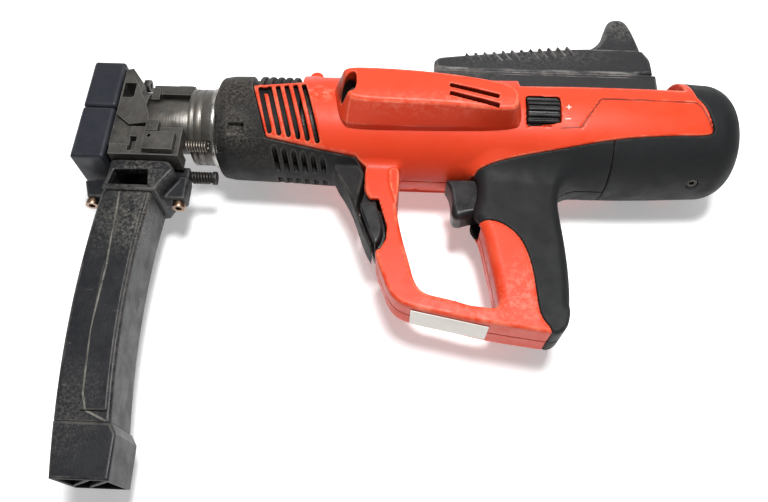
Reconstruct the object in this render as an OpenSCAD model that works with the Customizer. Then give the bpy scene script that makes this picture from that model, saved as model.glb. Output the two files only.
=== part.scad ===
// Powder-actuated nail gun, lying on its right side.
// Origin: centre of the muzzle on the tool axis. +X runs to the rear, +Y to the top of the
// tool and +Z to its left side, which faces up. All lengths are in millimetres.

/* [Casing] */
// Radius of the casing at its middle
casing_r = 39.5; // [38.5:0.5:40]
// Radius of the casing over the rear body
rear_r = 42; // [41:0.5:42.5]
// Height of the flat deck that the slide runs over
deck_y = 25.5; // [25:0.5:26]
// Length of the whole tool along its axis
tool_l = 441; // [440:1:446]
// Height at which the flat rest face lies below the axis
rest_z = 43.5; // [43:0.5:45]
// Half the thickness of the handle loop
handle_half = 15.5; // [15:0.5:16.5]
// Half the thickness of the grip
grip_half = 17; // [16.5:0.5:18]

/* [Barrel] */
// Radius of the front tube
tube_r = 19; // [18:0.5:20]
// Radius of the flange of the piston guide
flange_r = 26.5; // [26:0.5:27]
// Radius of the piston guide inside the casing
guide_r = 23; // [22:0.5:23]
// Radius of the bore that the piston runs in
piston_bore_r = 14; // [13:0.5:15]
// Radius of the muzzle bore that the nails leave by
muzzle_r = 5.1; // [4.5:0.1:5.5]
// Travel of the barrel when the nose is pressed down
press_travel = 20; // [10:1:20]

/* [Magazine] */
// Radius of the arc that the magazine's front wall follows
mag_arc_r = 688; // [680:1:700]
// Depth of the magazine from its front wall to its rear wall
mag_depth = 32; // [31:0.5:33]
// Half the width of the magazine
mag_half = 18; // [17:0.5:19]
// Lowest point of the magazine
mag_end_y = -243; // [-246:1:-240]
// Wall thickness of the magazine
mag_wall = 2.5; // [2:0.5:3]

/* [Slide and controls] */
// Half the width of the cocking slide
slide_half = 20; // [19:0.5:21]
// Front end of the cocking slide
slide_x0 = 238; // [236:1:240]
// Rear end of the cocking slide
slide_x1 = 392; // [391:1:393]
// Radius of the power wheel
wheel_r = 13; // [12.5:0.5:13.5]
// Half the width of the trigger
trigger_half = 9.5; // [9:0.5:10]
// Number of grip ribs on top of the slide
slide_ribs = 12; // [8:1:12]

/* [Hidden] */
$fn = 72;
e = 0.05;
red = [0.86, 0.24, 0.14];
black = [0.13, 0.13, 0.14];
soft = [0.17, 0.18, 0.18];
blue_grey = [0.17, 0.18, 0.21];
steel = [0.42, 0.40, 0.37];
bright = [0.75, 0.74, 0.70];
copper = [0.72, 0.45, 0.28];

// Casing
cavity_r = 28.2;
cavity_x0 = 108;
cavity_x1 = 293.5;
guide_room = 24.6;
rear_room = 24;
sleeve_r = 36;
sleeve_in = 29;
skin_in = 33.5;
breech_r = 14;
breech_x0 = 306;
breech_x1 = 352;
cap_x0 = 352;
cap_screw_turn = 78;
rail_half = 9;
rail_top = 38.5;
channel_x0 = 286;
channel_x1 = 305;
channel_half = 5.5;

// Barrel
plate_l = 22.5;
guide_x0 = 71;
guide_x1 = 272;
neck_x1 = breech_x0 - 1 - press_travel;
neck_r = 13;
piston_x1 = 265;
seat_x = 148;

// Magazine
mag_cx = 708.5;
mag_cy = -117.5;
mag_cap_y = -212;

// Controls
trigger_pin_x = 271;
trigger_pin_y = -47;
catch_pin_x = 197;
catch_pin_y = -56;
wheel_x0 = 296;
wheel_x1 = 317;
wheel_y = -4.3;
wheel_z = 30;

// ---------------------------------------------------------------- building blocks

// Cylinder along X from x0 to x1
module xcyl(x0, x1, r, y = 0, z = 0) {
    translate([x0, y, z]) rotate([0, 90, 0]) cylinder(h = x1 - x0, r = r);
}

// Ring along X
module xring(x0, x1, r, bore, y = 0, z = 0) {
    difference() {
        xcyl(x0, x1, r, y, z);
        xcyl(x0 - 1, x1 + 1, bore, y, z);
    }
}

// Cylinder along Y from y0 up to y1
module ycyl(x, z, y0, y1, r) {
    translate([x, y1, z]) rotate([90, 0, 0]) cylinder(h = y1 - y0, r = r);
}

// Cylinder along Z from z0 to z1
module zcyl(x, y, z0, z1, r) {
    translate([x, y, z0]) cylinder(h = z1 - z0, r = r);
}

// Box between two corners
module block(a, b) {
    translate(a) cube([b[0] - a[0], b[1] - a[1], b[2] - a[2]]);
}

// Side-view outline made thick from z0 to z1
module slab(z0, z1) {
    translate([0, 0, z0]) linear_extrude(height = z1 - z0) children();
}

// Straight slot with round ends between two points, in the side view
module slot_2d(from, to, r) {
    turn = atan2(to[1] - from[1], to[0] - from[0]);
    polygon(concat(
        [for (a = [-90 : 36 : 90]) to + r * [cos(turn + a), sin(turn + a)]],
        [for (a = [90 : 36 : 270]) from + r * [cos(turn + a), sin(turn + a)]]));
}

// Coil spring along X, as a row of closed turns
module turns_x(x0, x1, count, coil_r, wire_r, y = 0, z = 0) {
    pitch = (x1 - x0 - 2 * wire_r) / (count - 1);
    for (i = [0 : count - 1])
        translate([x0 + wire_r + i * pitch, y, z]) rotate([0, 90, 0])
            rotate_extrude($fn = 32) translate([coil_r, 0]) circle(r = wire_r, $fn = 14);
}

// Socket-head screw along Y with its head at the low end
module screw_y(x, z, head_y, length, r) {
    difference() {
        union() {
            ycyl(x, z, head_y, head_y + 1.6 * r, 1.7 * r);
            ycyl(x, z, head_y + 1.6 * r - e, head_y + length, r);
        }
        translate([x, head_y + r, z]) rotate([90, 0, 0]) cylinder(h = 2 * r, r = r, $fn = 6);
    }
}

// Countersunk casing screw along Z with its head at z1
module screw_z(x, y, z0, z1, r) {
    difference() {
        union() {
            zcyl(x, y, z1 - 3, z1, 1.8 * r);
            zcyl(x, y, z0, z1 - 2.9, r);
        }
        translate([x, y, z1 - 2]) cylinder(h = 3, r = r, $fn = 6);
    }
}

// ---------------------------------------------------------------- casing outlines

// Half section of the whole casing, turned about the tool axis
module casing_barrel() {
    rotate([0, 90, 0]) rotate_extrude($fn = 96) polygon([
        [0, cavity_x0], [skin_in + 3.1, cavity_x0 + 4], [38, 165], [casing_r, 292],
        [rear_r, 330], [rear_r, 364], [40.8, 394], [39.2, 418], [37.6, 427], [33.5, 434.5],
        [27, 438.7], [18, tool_l - 0.5], [0, tool_l]]);
}

// Handle loop seen from the side
module handle_outline() {
    difference() {
        polygon([[180, -30], [187, -38], [192, -46], [192, -58], [198, -64], [205, -78],
            [206.5, -88], [204, -95], [200, -98], [202, -106], [210.5, -127], [216, -133],
            [225, -136.5], [246, -140.5], [272, -145.5], [296, -148.5], [307, -150], [313, -149.5],
            [318, -144], [320.5, -128], [321, -108], [320, -87], [318, -69], [317.5, -56],
            [322, -42], [330, -30]]);
        polygon([[214, -20], [213.5, -53], [213, -68], [217, -88], [222, -105],
            [225.5, -119], [231, -126.5], [246, -129.5], [270, -135], [277, -134.5],
            [276, -122], [272, -100], [269, -83], [266, -75.5], [262, -69.5],
            [266, -56], [266, -44], [262, -39], [250, -36]]);
    }
}

// Region of the side view that is covered by soft black material
module soft_region() {
    polygon([[256, -60], [263.4, -39.4], [270.8, -37.1], [281, -34], [298, -30.8],
        [325.6, -27.8], [352.6, -23.4], [386.7, -20], [413, -18.6], [417.6, -14],
        [412.7, 0], [407.3, 8.3], [407, 60], [470, 60], [470, -180],
        [312, -180], [309, -148], [301.5, -140], [300, -127], [299, -112], [296, -97],
        [291, -86], [283, -78.5], [274, -75], [262, -76]]);
}

// Region of the side view that belongs to the black front sleeve
module sleeve_region() {
    polygon([[80, 60], [112, 60], [112, 30], [114.7, 10.4], [125.8, -24.8],
        [161.5, -30.1], [184.9, -32.7], [192, -38], [190, -60], [80, -60]]);
}

// Everything that the two casing halves and their covers are cut from
module casing_solid() {
    difference() {
        union() {
            difference() {
                casing_barrel();
                block([158, deck_y, -60], [402, 60, 60]);
                // slanted shoulders beside the slide
                for (side = [0, 1]) mirror([0, 0, side]) translate([293, deck_y, 20.8])
                    rotate([31.5, 0, 0]) block([0, 0, -0.1], [109, 40, 60]);
            }
            slab(-handle_half, handle_half) handle_outline();
            slab(-grip_half, grip_half) intersection() {
                handle_outline();
                translate([262, -160]) square([80, 130]);
            }
            // flat foot on the right side
            block([168, -28, -rest_z], [400, 11, -24]);
        }
        casing_hollows();
    }
}

// Spaces inside the casing
module casing_hollows() {
    xcyl(146, seat_x + 8, cavity_r);
    xcyl(seat_x + 7.9, cavity_x1, guide_room);
    block([165, 20, -3.2], [330, 27, 3.2]);
    // window in the skin over the cooling ribs
    slab(-50, 50) polygon([[107, 9.5], [147.6, 14.9], [147.6, 60], [107, 60]]);
    // pocket for the front end of the rail
    block([147.5, 30, -rail_half - e], [158.1, 60, rail_half + e]);
    xcyl(cavity_x1 - 1, breech_x1, breech_r + 0.6);
    // front skin runs over the sleeve
    xcyl(cavity_x0 - 1, 147, skin_in);
    // pocket of the power wheel
    xcyl(wheel_x0 - 0.8, wheel_x1 + 0.8, wheel_r + 0.8, wheel_y, wheel_z);
    xcyl(wheel_x0 - 3, wheel_x1 + 4, 2, wheel_y, wheel_z);
    // channel for the cartridge strip, up the grip to the breech
    block([channel_x0, -142, -channel_half], [channel_x1, 0, channel_half]);
    block([channel_x0 - 1.5, -140, -channel_half - 1.5],
        [channel_x1 + 1.5, -40, channel_half + 1.5]);
    // trigger pocket
    slab(-trigger_half - 0.7, trigger_half + 0.7)
        polygon([[240, -39.8], [283, -39.8], [283, -76], [266, -79], [255, -79], [240, -60]]);
    zcyl(trigger_pin_x, trigger_pin_y, -14, 14, 2);
    // room for the trigger's arm and the sear bar
    block([262, -39.9, 6.6], [285, -29.4, 10]);
    block([261, -36, 6.4], [330, -29.5, 10.6]);
    block([314.5, -36, -4.2], [330, -29.5, 10.6]);
    block([314.5, -30, -4.2], [330, -13, 4.2]);
    zcyl(catch_pin_x, catch_pin_y, -14, 14, 1.5);
    // pocket of the release catch
    slab(-11.7, 11.7) polygon([[180, -43], [189, -43], [195.5, -47], [202.5, -60],
        [206, -70], [205, -75], [190, -75], [180, -60]]);
    slab(-20, 20) polygon([[180, -62], [203, -62], [206, -70], [209.5, -82],
        [209, -92], [205, -99.5], [195, -99]]);
    // inside of the rear cap
    xcyl(breech_x1 - 1, 403, rear_room);
    xcyl(402.9, 427, 30);
}

// Cut that leaves one half of the casing
module half_space(side) {
    if (side > 0) block([0, -200, 0], [500, 120, 100]);
    else block([0, -200, -100], [500, 120, 0]);
}

// Slanted air slots of the red skin
module skin_slots(side) {
    slab(side > 0 ? 18 : -48, side > 0 ? 48 : -18) for (i = [0 : 5])
        slot_2d([120 + i * 5.7, 8.2 + i * 0.8], [128.3 + i * 6.3, -21.6 - i * 0.9], 1.5);
}

// Screw places: [x, y]
screw_spots = [[213, -107], [240, -133.5], [312, -140], [226, -33], [340, -34]];

// Half casing: the red shell
module casing_half(side) {
    difference() {
        intersection() {
            casing_solid();
            half_space(side);
        }
        slab(-80, 80) soft_region();
        slab(-80, 80) sleeve_region();
        skin_slots(side);
        for (s = screw_spots) {
            zcyl(s[0], s[1], -13, 13, 1.6);
            zcyl(s[0], s[1], -40, -10.5, 3);
        }
    }
}

// ---------------------------------------------------------------- casing parts

module casing_left() {
    color(red) casing_half(1);
}

module casing_right() {
    color(red) casing_half(-1);
}

// Black sleeve in front, with its air slots and the tail in front of the handle
module front_sleeve() {
    color(black) difference() {
        union() {
            xcyl(94, 146.9, skin_in - 0.1);
            intersection() {
                rotate([0, 90, 0]) rotate_extrude($fn = 96) polygon([
                    [0, 91], [31, 91], [34.5, 94], [sleeve_r, 99], [37, 140],
                    [38, 165], [38.3, 196], [0, 196]]);
                slab(-80, 80) sleeve_region();
            }
            // row of cooling ribs round the top
            intersection() {
                for (i = [0 : 4]) xcyl(118 + i * 5.6, 121 + i * 5.6, 36.4);
                slab(-50, 50) polygon([[110, 10.7], [150, 16], [150, 60], [110, 60]]);
            }
        }
        xcyl(80, 200, sleeve_in);
        // lower air slots
        for (side = [-1, 1]) slab(side > 0 ? 4 : -34, side > 0 ? 34 : -4) for (i = [0 : 5])
            slot_2d([131 + i * 6.4, -30.2 - i * 0.9], [132.6 + i * 6.2, -36.2], 1.3);
        // square pocket and notch
        block([101, -25.5, 27.5], [111, -17.5, 40]);
        block([103, 12, 32], [109.5, 17.5, 40]);
        // room for the latch spring when the nose is pressed in
        xcyl(85, 113, 4.2, -26.5, 15.5);
    }
}

// Black guard that runs from the sleeve down the front of the handle
module front_guard() {
    color(black) difference() {
        slab(-13, 13) polygon([[168, -32], [172, -40], [180, -54], [185.5, -66],
            [193, -88], [199, -98], [200.5, -97], [197, -92], [189.5, -72],
            [187.4, -67], [188.2, -60], [190, -50], [191.1, -42], [189.2, -37.4],
            [184, -33.4], [176, -31]]);
        rotate([0, 90, 0]) cylinder(h = 300, r = 38.4);
    }
}

// Raised cover on the left side
module side_cover() {
    color(red) difference() {
        union() {
            slab(28, 46) polygon([[170, 8], [172, -3], [174, -12], [177, -17.5],
                [181, -20.5], [227, -20.5], [288, -19.5], [292.5, -15], [292.5, 2],
                [270, 10], [228, 17], [185, 19], [174, 15]]);
            slab(45.9, 57) polygon([[176, 8], [181, -12], [186, -16.5], [226, -17],
                [252, -17], [284, -18.5], [288, -14], [288, -2], [270, 5], [228, 11],
                [190, 12.5], [178, 12]]);
        }
        casing_barrel();
        // mouth at the front end with its curved lip
        zcyl(177, -2, 44, 60, 7.5);
        block([170, -6, 44], [182, 4, 60]);
        // two louvre slots
        for (i = [0 : 1])
            translate([244, -2.6 - 6.3 * i, 52]) rotate([0, 0, -14.4]) cube([32, 2, 6]);
    }
}

// Rail on the deck that guides the slide
module slide_rail() {
    color(red) difference() {
        union() {
            block([158.1, deck_y, -rail_half], [401.9, rail_top, rail_half]);
            block([147.6, 30.1, -rail_half], [158.2, rail_top, rail_half]);
            zcyl(152.5, rail_top + 4.5, -6, 6, 4.8);
            block([147.8, rail_top - 1, -6], [157.2, rail_top + 4.5, 6]);
        }
        // side grooves
        for (side = [-1, 1])
            block([160, 32.5, side > 0 ? rail_half - 1.5 : -rail_half - 1],
                [398, 34.5, side > 0 ? rail_half + 1 : 1.5 - rail_half]);
        // slot for the pawl
        block([165, 20, -3.2], [330, 60, 3.2]);
    }
}

// Domed black cap over the rear end
module rear_cap() {
    color(soft) difference() {
        intersection() {
            casing_solid();
            slab(-80, 80) soft_region();
            block([cap_x0, -80, -80], [470, 80, 80]);
        }
        rotate([cap_screw_turn, 0, 0]) {
            zcyl(409, 0, 35.9, 60, 4);
            zcyl(409, 0, 25, 40, 1.9);
        }
    }
}

// Soft cover over the grip and the underside of the casing, one half
module grip_cover(side) {
    difference() {
        intersection() {
            casing_solid();
            half_space(side);
            slab(-80, 80) soft_region();
            block([200, -200, -80], [cap_x0, 40, 80]);
        }
        for (s = screw_spots) {
            zcyl(s[0], s[1], -13, 13, 1.6);
            zcyl(s[0], s[1], -40, -10.5, 3);
        }
    }
}

module grip_cover_left() {
    color(soft) grip_cover(1);
}

module grip_cover_right() {
    color(soft) grip_cover(-1);
}

// Blank plate under the handle loop
module label_plate() {
    color("white") translate([224, -136.4, -11]) rotate([0, 0, -10.8])
        translate([0, -0.7, 0]) cube([48, 0.5, 22]);
}

module casing_screws() {
    color(steel) mirror([0, 0, 1]) for (s = screw_spots)
        screw_z(s[0], s[1], -12, 13.5, 1.55);
}

module cap_screw() {
    color(steel) rotate([cap_screw_turn, 0, 0]) screw_z(409, 0, 27, 39, 1.85);
}

module front_bearing() {
    color(steel) xring(seat_x, seat_x + 8, cavity_r - e, guide_r + 0.1);
}

module rear_bearing() {
    color(steel) xring(225, 245, guide_room - e, guide_r + 0.1);
}

module return_spring() {
    color(bright) turns_x(97.2, seat_x - 0.1, 8, 26, 1.2);
}

// Steel breech that the barrel closes against
module breech_block() {
    color(steel) difference() {
        xcyl(breech_x0, breech_x1, breech_r);
        xcyl(breech_x0 - 1, breech_x0 + 6, 1.6);
        xcyl(breech_x0 + 5, breech_x1 + 1, 6.6);
        block([314.5, -16, -4.2], [331, -5, 4.2]);
    }
}

module firing_pin() {
    color(bright) {
        xcyl(breech_x0 + 1, breech_x0 + 12.1, 1.55);
        xcyl(breech_x0 + 12, 340, 6.5);
    }
}

module firing_spring() {
    color(bright) turns_x(340.2, 364.8, 8, 5, 0.8);
}

// Rubber stop behind the breech, which also seats the firing spring
module rear_buffer() {
    color(black) difference() {
        xcyl(breech_x1, 370, rear_room - e);
        xcyl(breech_x1 - 1, 365, 6.6);
    }
}

// Bar between the trigger and the firing pin
module sear_bar() {
    color(steel) difference() {
        union() {
            block([265, -35, 6.9], [324, -30.5, 10]);
            block([318, -35, -3.2], [324, -30.5, 10]);
            block([318, -31, -3.2], [324, -7, 3.2]);
        }
        block([268.2, -36, 7.4], [274.8, -30, 9.5]);
    }
}

// Folded steel channel in the grip that leads the cartridge strip
module cartridge_guide() {
    color(steel) difference() {
        block([channel_x0 - 1.4, -139, -channel_half - 1.4],
            [channel_x1 + 1.4, -41, channel_half + 1.4]);
        block([channel_x0, -150, -channel_half], [channel_x1, -30, channel_half]);
    }
}

module wheel_axle() {
    color(steel) xcyl(wheel_x0 - 2.5, wheel_x1 + 3.5, 1.98, wheel_y, wheel_z);
}

module trigger_pin() {
    color(steel) zcyl(trigger_pin_x, trigger_pin_y, -13.9, 13.9, 1.98);
}

module trigger_spring() {
    color(bright) turns_x(276.2, 282.8, 4, 3, 0.6, -60, 0);
}

module catch_pin() {
    color(steel) zcyl(catch_pin_x, catch_pin_y, -13.9, 13.9, 1.48);
}

module catch_spring() {
    color(bright) turns_x(204.4, 209, 3, 2.6, 0.5, -84, 0);
}

// ---------------------------------------------------------------- barrel and nose

// Front tube between the nose and the piston guide
module front_tube() {
    color(steel) difference() {
        xring(36, guide_x0, tube_r, muzzle_r + 0.3);
        feed_slot();
    }
}

// Slot that the nails come up by, from the magazine to the bore
module feed_slot() {
    block([27, -60, -4.6], [53, 0, 4.6]);
}

// Cylinder that the piston runs in, with the flange in front and the chamber behind
module piston_guide() {
    color(steel) difference() {
        union() {
            xcyl(guide_x0, 97, flange_r);
            xcyl(96.9, guide_x1, guide_r);
            xcyl(guide_x1 - 0.1, neck_x1, neck_r);
        }
        xcyl(guide_x0 - 1, 106, muzzle_r + 0.3);
        xcyl(105, piston_x1 + 0.4, piston_bore_r);
        xcyl(piston_x1, neck_x1 + 1, 3.5);
        // grooves of the flange
        for (x = [74, 79.3]) xring(x, x + 0.9, flange_r + 1, flange_r - 0.8);
        // exhaust holes
        for (a = [0 : 60 : 300]) rotate([a, 0, 0]) zcyl(142, 0, 10, 30, 3);
        // slot for the pawl of the slide
        block([158, 12, -3.4], [255, 30, 3.4]);
    }
}

module locking_rings() {
    color(bright) {
        xring(86, 88.6, 27.8, flange_r);
        xring(89.6, 90.6, 28.3, flange_r);
        xring(91.6, 92.8, 28.3, flange_r);
    }
}

module buffer_ring() {
    color(black) xring(106.1, 132, piston_bore_r - e, muzzle_r + 0.5);
}

// Steel bracket that carries the nose plates, the tube and the latch
module nose_frame() {
    color(steel) difference() {
        union() {
            slab(-24, 24) polygon([[plate_l, 30], [27, 31], [36, 19], [36, -33],
                [plate_l, -33]]);
            xcyl(36, 41, tube_r + 4);
            // ribs that run down from the tube to the left side
            slab(18, 27) polygon([[24, 20], [30, 22], [40, 4], [46, -10], [46, -16],
                [34, -18], [24, -10]]);
            slab(-27, -18) polygon([[24, 20], [30, 22], [40, 4], [46, -10], [46, -16],
                [34, -18], [24, -10]]);
        }
        xcyl(0, 80, muzzle_r + 0.3);
        xcyl(35.9, 42, tube_r);
        // hollows between the ribs
        for (side = [-1, 1])
            block([25, 4, side > 0 ? 13 : -30], [33, 16, side > 0 ? 30 : -13]);
        for (z = [-14, 14]) {
            xcyl(20, 34, 2.5, 24, z);
            xcyl(33.7, 45, 4.6, 24, z);
        }
        feed_slot();
    }
}

// Outline of the nose plate, seen along the tool axis, between two heights
module nose_plate(y0, y1) {
    difference() {
        block([0, y0, -28], [plate_l, y1, 28]);
        // hollow behind the front wall
        block([5, y0 < -30 ? y0 + 4.5 : y0 - 1, -23.5],
            [plate_l + 1, y1 > 20 ? y1 - 4.5 : y1 + 1, 23.5]);
        xcyl(-1, 30, 9.5);
        for (side = [-1, 1])
            translate([0, 0, side * 28]) rotate([0, 45, 0])
                cube([2.4, 200, 2.4], center = true);
    }
}

module nose_plate_upper() {
    color(blue_grey) nose_plate(-4.2, 33.5);
}

module nose_plate_lower() {
    color(blue_grey) nose_plate(-45, -5);
}

// Steel insert with the muzzle bore
module fastener_guide() {
    color(steel) difference() {
        union() {
            xcyl(0, 5.2, 9.4);
            block([5.1, -18, -12], [plate_l, 14, 12]);
        }
        xcyl(-1, 40, muzzle_r);
    }
}

// Bar that lies along the top of the tube
module top_bar() {
    color(steel) difference() {
        union() {
            block([41.4, 15, 3], [70.2, 22.5, 17]);
            block([58, 22, 5], [68, 24.5, 15]);
            block([41.4, 9, 13], [47, 19, 19]);
        }
        xcyl(40, 80, tube_r);
        block([60, 23.4, 8], [66, 30, 12]);
    }
}

module nose_bolts() {
    color(steel) for (z = [-14, 14]) {
        xcyl(20, 33, 2.45, 24, z);
        difference() {
            xcyl(33.8, 37.5, 4.4, 24, z);
            translate([36, 24, z]) rotate([0, 90, 0]) cylinder(h = 3, r = 2.2, $fn = 6);
        }
        xcyl(32.9, 33.9, 2.45, 24, z);
    }
}

// Steel housing of the feed latch, beside the magazine head
module latch_housing() {
    color(steel) difference() {
        union() {
            block([24, -41, 9.2], [70, -33.2, 26]);
            block([36.1, -33.3, 19.2], [70, -19, 26]);
            block([24, -41, -26], [62, -33.2, -9.2]);
            block([54, -36, -10], [62, -33.2, 10]);
        }
        xcyl(20, 80, tube_r + 0.2);
        // slot that the latch pin runs in
        block([50, -40, 25], [66, -27, 27]);
        block([36, -38, 20], [41, -27, 30]);
    }
}

// Spring-loaded plate that holds back the nails
module feed_latch() {
    color(steel) union() {
        difference() {
            block([47, -39.5, 26.3], [67, -26, 31]);
            zcyl(50.5, -29.3, 20, 40, 1.3);
        }
        block([52, -34, 25.3], [60, -29, 26.4]);
    }
}

// Small fixed plate and its rivet
module latch_rivets() {
    color(steel) {
        difference() {
            block([47, -25, 26], [55, -16.5, 30.5]);
            zcyl(50.5, -19.8, 27, 40, 1.3);
        }
        zcyl(50.5, -19.8, 27, 30, 1.25);
    }
}

module latch_spring() {
    color(bright) turns_x(70.2, 85.8, 7, 3, 0.75, -26.5, 15.5);
}

// Plunger that locks the magazine, below the flange
module lock_plunger() {
    color(black) {
        xcyl(68, 88, 1.6, -41.5, 0);
        xcyl(87.9, 90.4, 4.6, -41.5, 0);
    }
}

module lock_spring() {
    color(black) turns_x(73, 87.6, 6, 3.4, 0.9, -41.5, 0);
}

// ---------------------------------------------------------------- magazine

// Curved band of the magazine in the side view
module mag_band(r_in, r_out, y0, y1) {
    intersection() {
        translate([mag_cx, mag_cy]) difference() {
            circle(r = r_out, $fn = 360);
            circle(r = r_in, $fn = 360);
        }
        translate([0, y0]) square([120, y1 - y0]);
    }
}

// Head that joins the magazine to the nose
module magazine_head() {
    color(black) difference() {
        union() {
            slab(-20, 20) polygon([[24.5, -41.1], [62, -41.1], [67, -47], [60, -58],
                [57, -64], [22.5, -64], [24.5, -52]]);
            // ears for the two screws
            block([56, -62, -6], [73, -44, 6]);
            slab(-6, 6) polygon([[4, -50], [24, -45.2], [24, -62], [8, -62]]);
            block([60, -45, -5], [72.5, -36.5, 5]);
        }
        slab(-13.5, 13.5) mag_band(mag_arc_r - mag_depth + 3, mag_arc_r - 3, -70, -30);
        // window in the left side
        slab(12, 30) polygon([[28, -49], [50, -48], [52, -60], [26, -60]]);
        ycyl(68, 0, -70, -42, 2.5);
        ycyl(10, 0, -70, -48, 2.5);
        xcyl(58, 80, 1.7, -41.5, 0);
    }
}

// Long curved tube that holds the nails
module magazine_body() {
    color(black) difference() {
        slab(-mag_half, mag_half)
            mag_band(mag_arc_r - mag_depth, mag_arc_r, mag_cap_y, -64);
        slab(-mag_half + mag_wall, mag_half - mag_wall) mag_band(
            mag_arc_r - mag_depth + mag_wall, mag_arc_r - mag_wall, mag_cap_y - 1, -60);
    }
}

// Raised panel on the left side of the magazine
module magazine_cover() {
    color(black) difference() {
        slab(mag_half, mag_half + 2) mag_band(mag_arc_r - mag_depth, mag_arc_r - 15,
            mag_cap_y + 6, -66);
        slab(mag_half, mag_half + 3) mag_band(mag_arc_r - mag_depth - 1,
            mag_arc_r - mag_depth + 1.6, -260, 0);
    }
}

// Open end with two slanted ribs
module magazine_cap() {
    color(black) difference() {
        union() {
            difference() {
                slab(-mag_half - 1, mag_half + 1) union() {
                    mag_band(mag_arc_r - mag_depth, mag_arc_r - 0.5, mag_end_y, mag_cap_y);
                    polygon([[60, mag_cap_y], [64, mag_cap_y - 6], [65, mag_end_y],
                        [58, mag_end_y], [56, mag_cap_y]]);
                }
                slab(-mag_half + 1.5, mag_half - 1) union() {
                    mag_band(mag_arc_r - mag_depth + 2, mag_arc_r - 2, mag_end_y - 1,
                        mag_cap_y + 1);
                    polygon([[56, mag_cap_y - 4], [62, mag_cap_y - 8],
                        [63, mag_end_y - 1], [56, mag_end_y - 1]]);
                }
            }
            for (x = [43, 54])
                translate([x, mag_end_y, 0]) rotate([0, 35, 0])
                    block([-0.9, 0.5, -21], [0.9, 14, 21]);
        }
        block([0, mag_end_y - 5, mag_half + 1], [120, -200, 60]);
        block([0, mag_end_y - 5, -60], [120, -200, -mag_half - 1]);
    }
}

module magazine_screws() {
    color(copper) {
        screw_y(68, 0, -66, 22, 2.45);
        screw_y(10, 0, -66, 16, 2.45);
    }
}

// Follower that pushes the nails up to the muzzle
module pusher() {
    color(steel) slab(-12.8, 12.8) difference() {
        mag_band(mag_arc_r - mag_depth + 3.4, mag_arc_r - 3.4, -98, -72);
        translate([40, -92]) square([10, 14], center = true);
    }
}

// Rolled spring strip at the foot of the magazine
module pusher_spring() {
    color(bright) {
        difference() {
            zcyl(45.5, -192, -10, 10, 8);
            zcyl(45.5, -192, -11, 11, 3.2);
        }
        slab(-5, 5) mag_band(mag_arc_r - mag_depth + 5, mag_arc_r - mag_depth + 5.6,
            -188, -98.2);
    }
}

// ---------------------------------------------------------------- piston and slide

module piston() {
    color(bright) {
        xcyl(78, 240, 5);
        difference() {
            xcyl(239.9, piston_x1, piston_bore_r - 0.1);
            for (x = [246, 254]) xring(x, x + 3, piston_bore_r + 1, piston_bore_r - 1.5);
        }
    }
}

module piston_rings() {
    color(steel) for (x = [246, 254])
        xring(x + 0.1, x + 2.9, piston_bore_r - 0.05, piston_bore_r - 1.45);
}

// Lower half of the cocking slide, which wraps round the rail
module slide_shell() {
    color(black) difference() {
        slab(-slide_half, slide_half) polygon([[slide_x0, deck_y + 0.5],
            [slide_x1 - 3, deck_y + 0.5], [slide_x1, deck_y + 3], [slide_x1, 44.8],
            [slide_x0, 44.8], [slide_x0 - 0.8, 36]]);
        block([200, 0, -rail_half - 0.4], [420, rail_top + 0.5, rail_half + 0.4]);
        block([246, rail_top, -2.6], [300, 46, 2.6]);
        for (x = [262, 372]) ycyl(x, 14, 20, 50, 1.6);
        // shallow line along both skirts
        for (side = [-1, 1])
            block([235, 40, side > 0 ? slide_half - 0.7 : -slide_half - 1],
                [400, 41, side > 0 ? slide_half + 1 : 0.7 - slide_half]);
    }
}

// Upper half with the ribbed top and the upright finger piece
module slide_grip() {
    color(black) difference() {
        union() {
            slab(-16, 16) polygon([[slide_x0, 44.9], [236.5, 54.5], [240, 57.5],
                [252, 59.5], [296, 65.5], [343, 70.5], [387, 70.5], [slide_x1, 61],
                [slide_x1, 44.9]]);
            slab(-8, 8) polygon([[338, 60], [344, 74.5], [351, 77.5], [358, 82],
                [363, 90], [367, 103], [371, 107.5], [380, 107.5], [384.5, 100],
                [389.5, 78], [slide_x1 - 0.5, 62], [slide_x1 - 2, 50]]);
            for (i = [0 : slide_ribs - 1])
                translate([261 + i * 6.8, 58.9 + i * 0.82, 0])
                    block([-1, -4, -16.6], [1, 2.6, 16.6]);
        }
        for (x = [262, 372]) ycyl(x, 14, 20, 52, 1.6);
        // slots that the pawl is held in
        block([246, 40, -2.6], [300, 52, 2.6]);
    }
}

// Pawl that reaches down from the slide towards the piston
module slide_pawl() {
    color(steel) {
        block([247, 38.6, -2.5], [299, 51.9, 2.5]);
        block([247, 29, -2.5], [257, 38.8, 2.5]);
        block([247, 24.6, -2.5], [251, 29.2, 2.5]);
    }
}

module slide_screws() {
    color(steel) for (x = [262, 372]) {
        ycyl(x, 14, 27, 50, 1.5);
        ycyl(x, 14, 26.2, 28, 1.55);
    }
}

// ---------------------------------------------------------------- controls

module power_wheel() {
    color(black) difference() {
        xcyl(wheel_x0, wheel_x1, wheel_r - 0.8, wheel_y, wheel_z);
        xcyl(wheel_x0 - 1, wheel_x1 + 1, 2.05, wheel_y, wheel_z);
    }
    color(black) for (a = [0 : 20 : 340])
        translate([0, wheel_y, wheel_z]) rotate([a, 0, 0])
            xcyl(wheel_x0 + 0.6, wheel_x1 - 0.6, 1.3, 0, wheel_r - 1.3);
}

module trigger() {
    color(black) block([269, -42, 7.6], [274, -31, 9.3]);
    color(black) difference() {
        slab(-trigger_half, trigger_half) polygon([[245.2, -42.4], [250, -41.6],
            [272, -41.6], [276, -45], [276, -65], [266, -67], [259.5, -68.8], [254.5, -70.8],
            [250.8, -69.8], [249, -66], [249.7, -60], [249.4, -53], [248, -47.5]]);
        zcyl(trigger_pin_x, trigger_pin_y, -20, 20, 2.05);
    }
}

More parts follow.
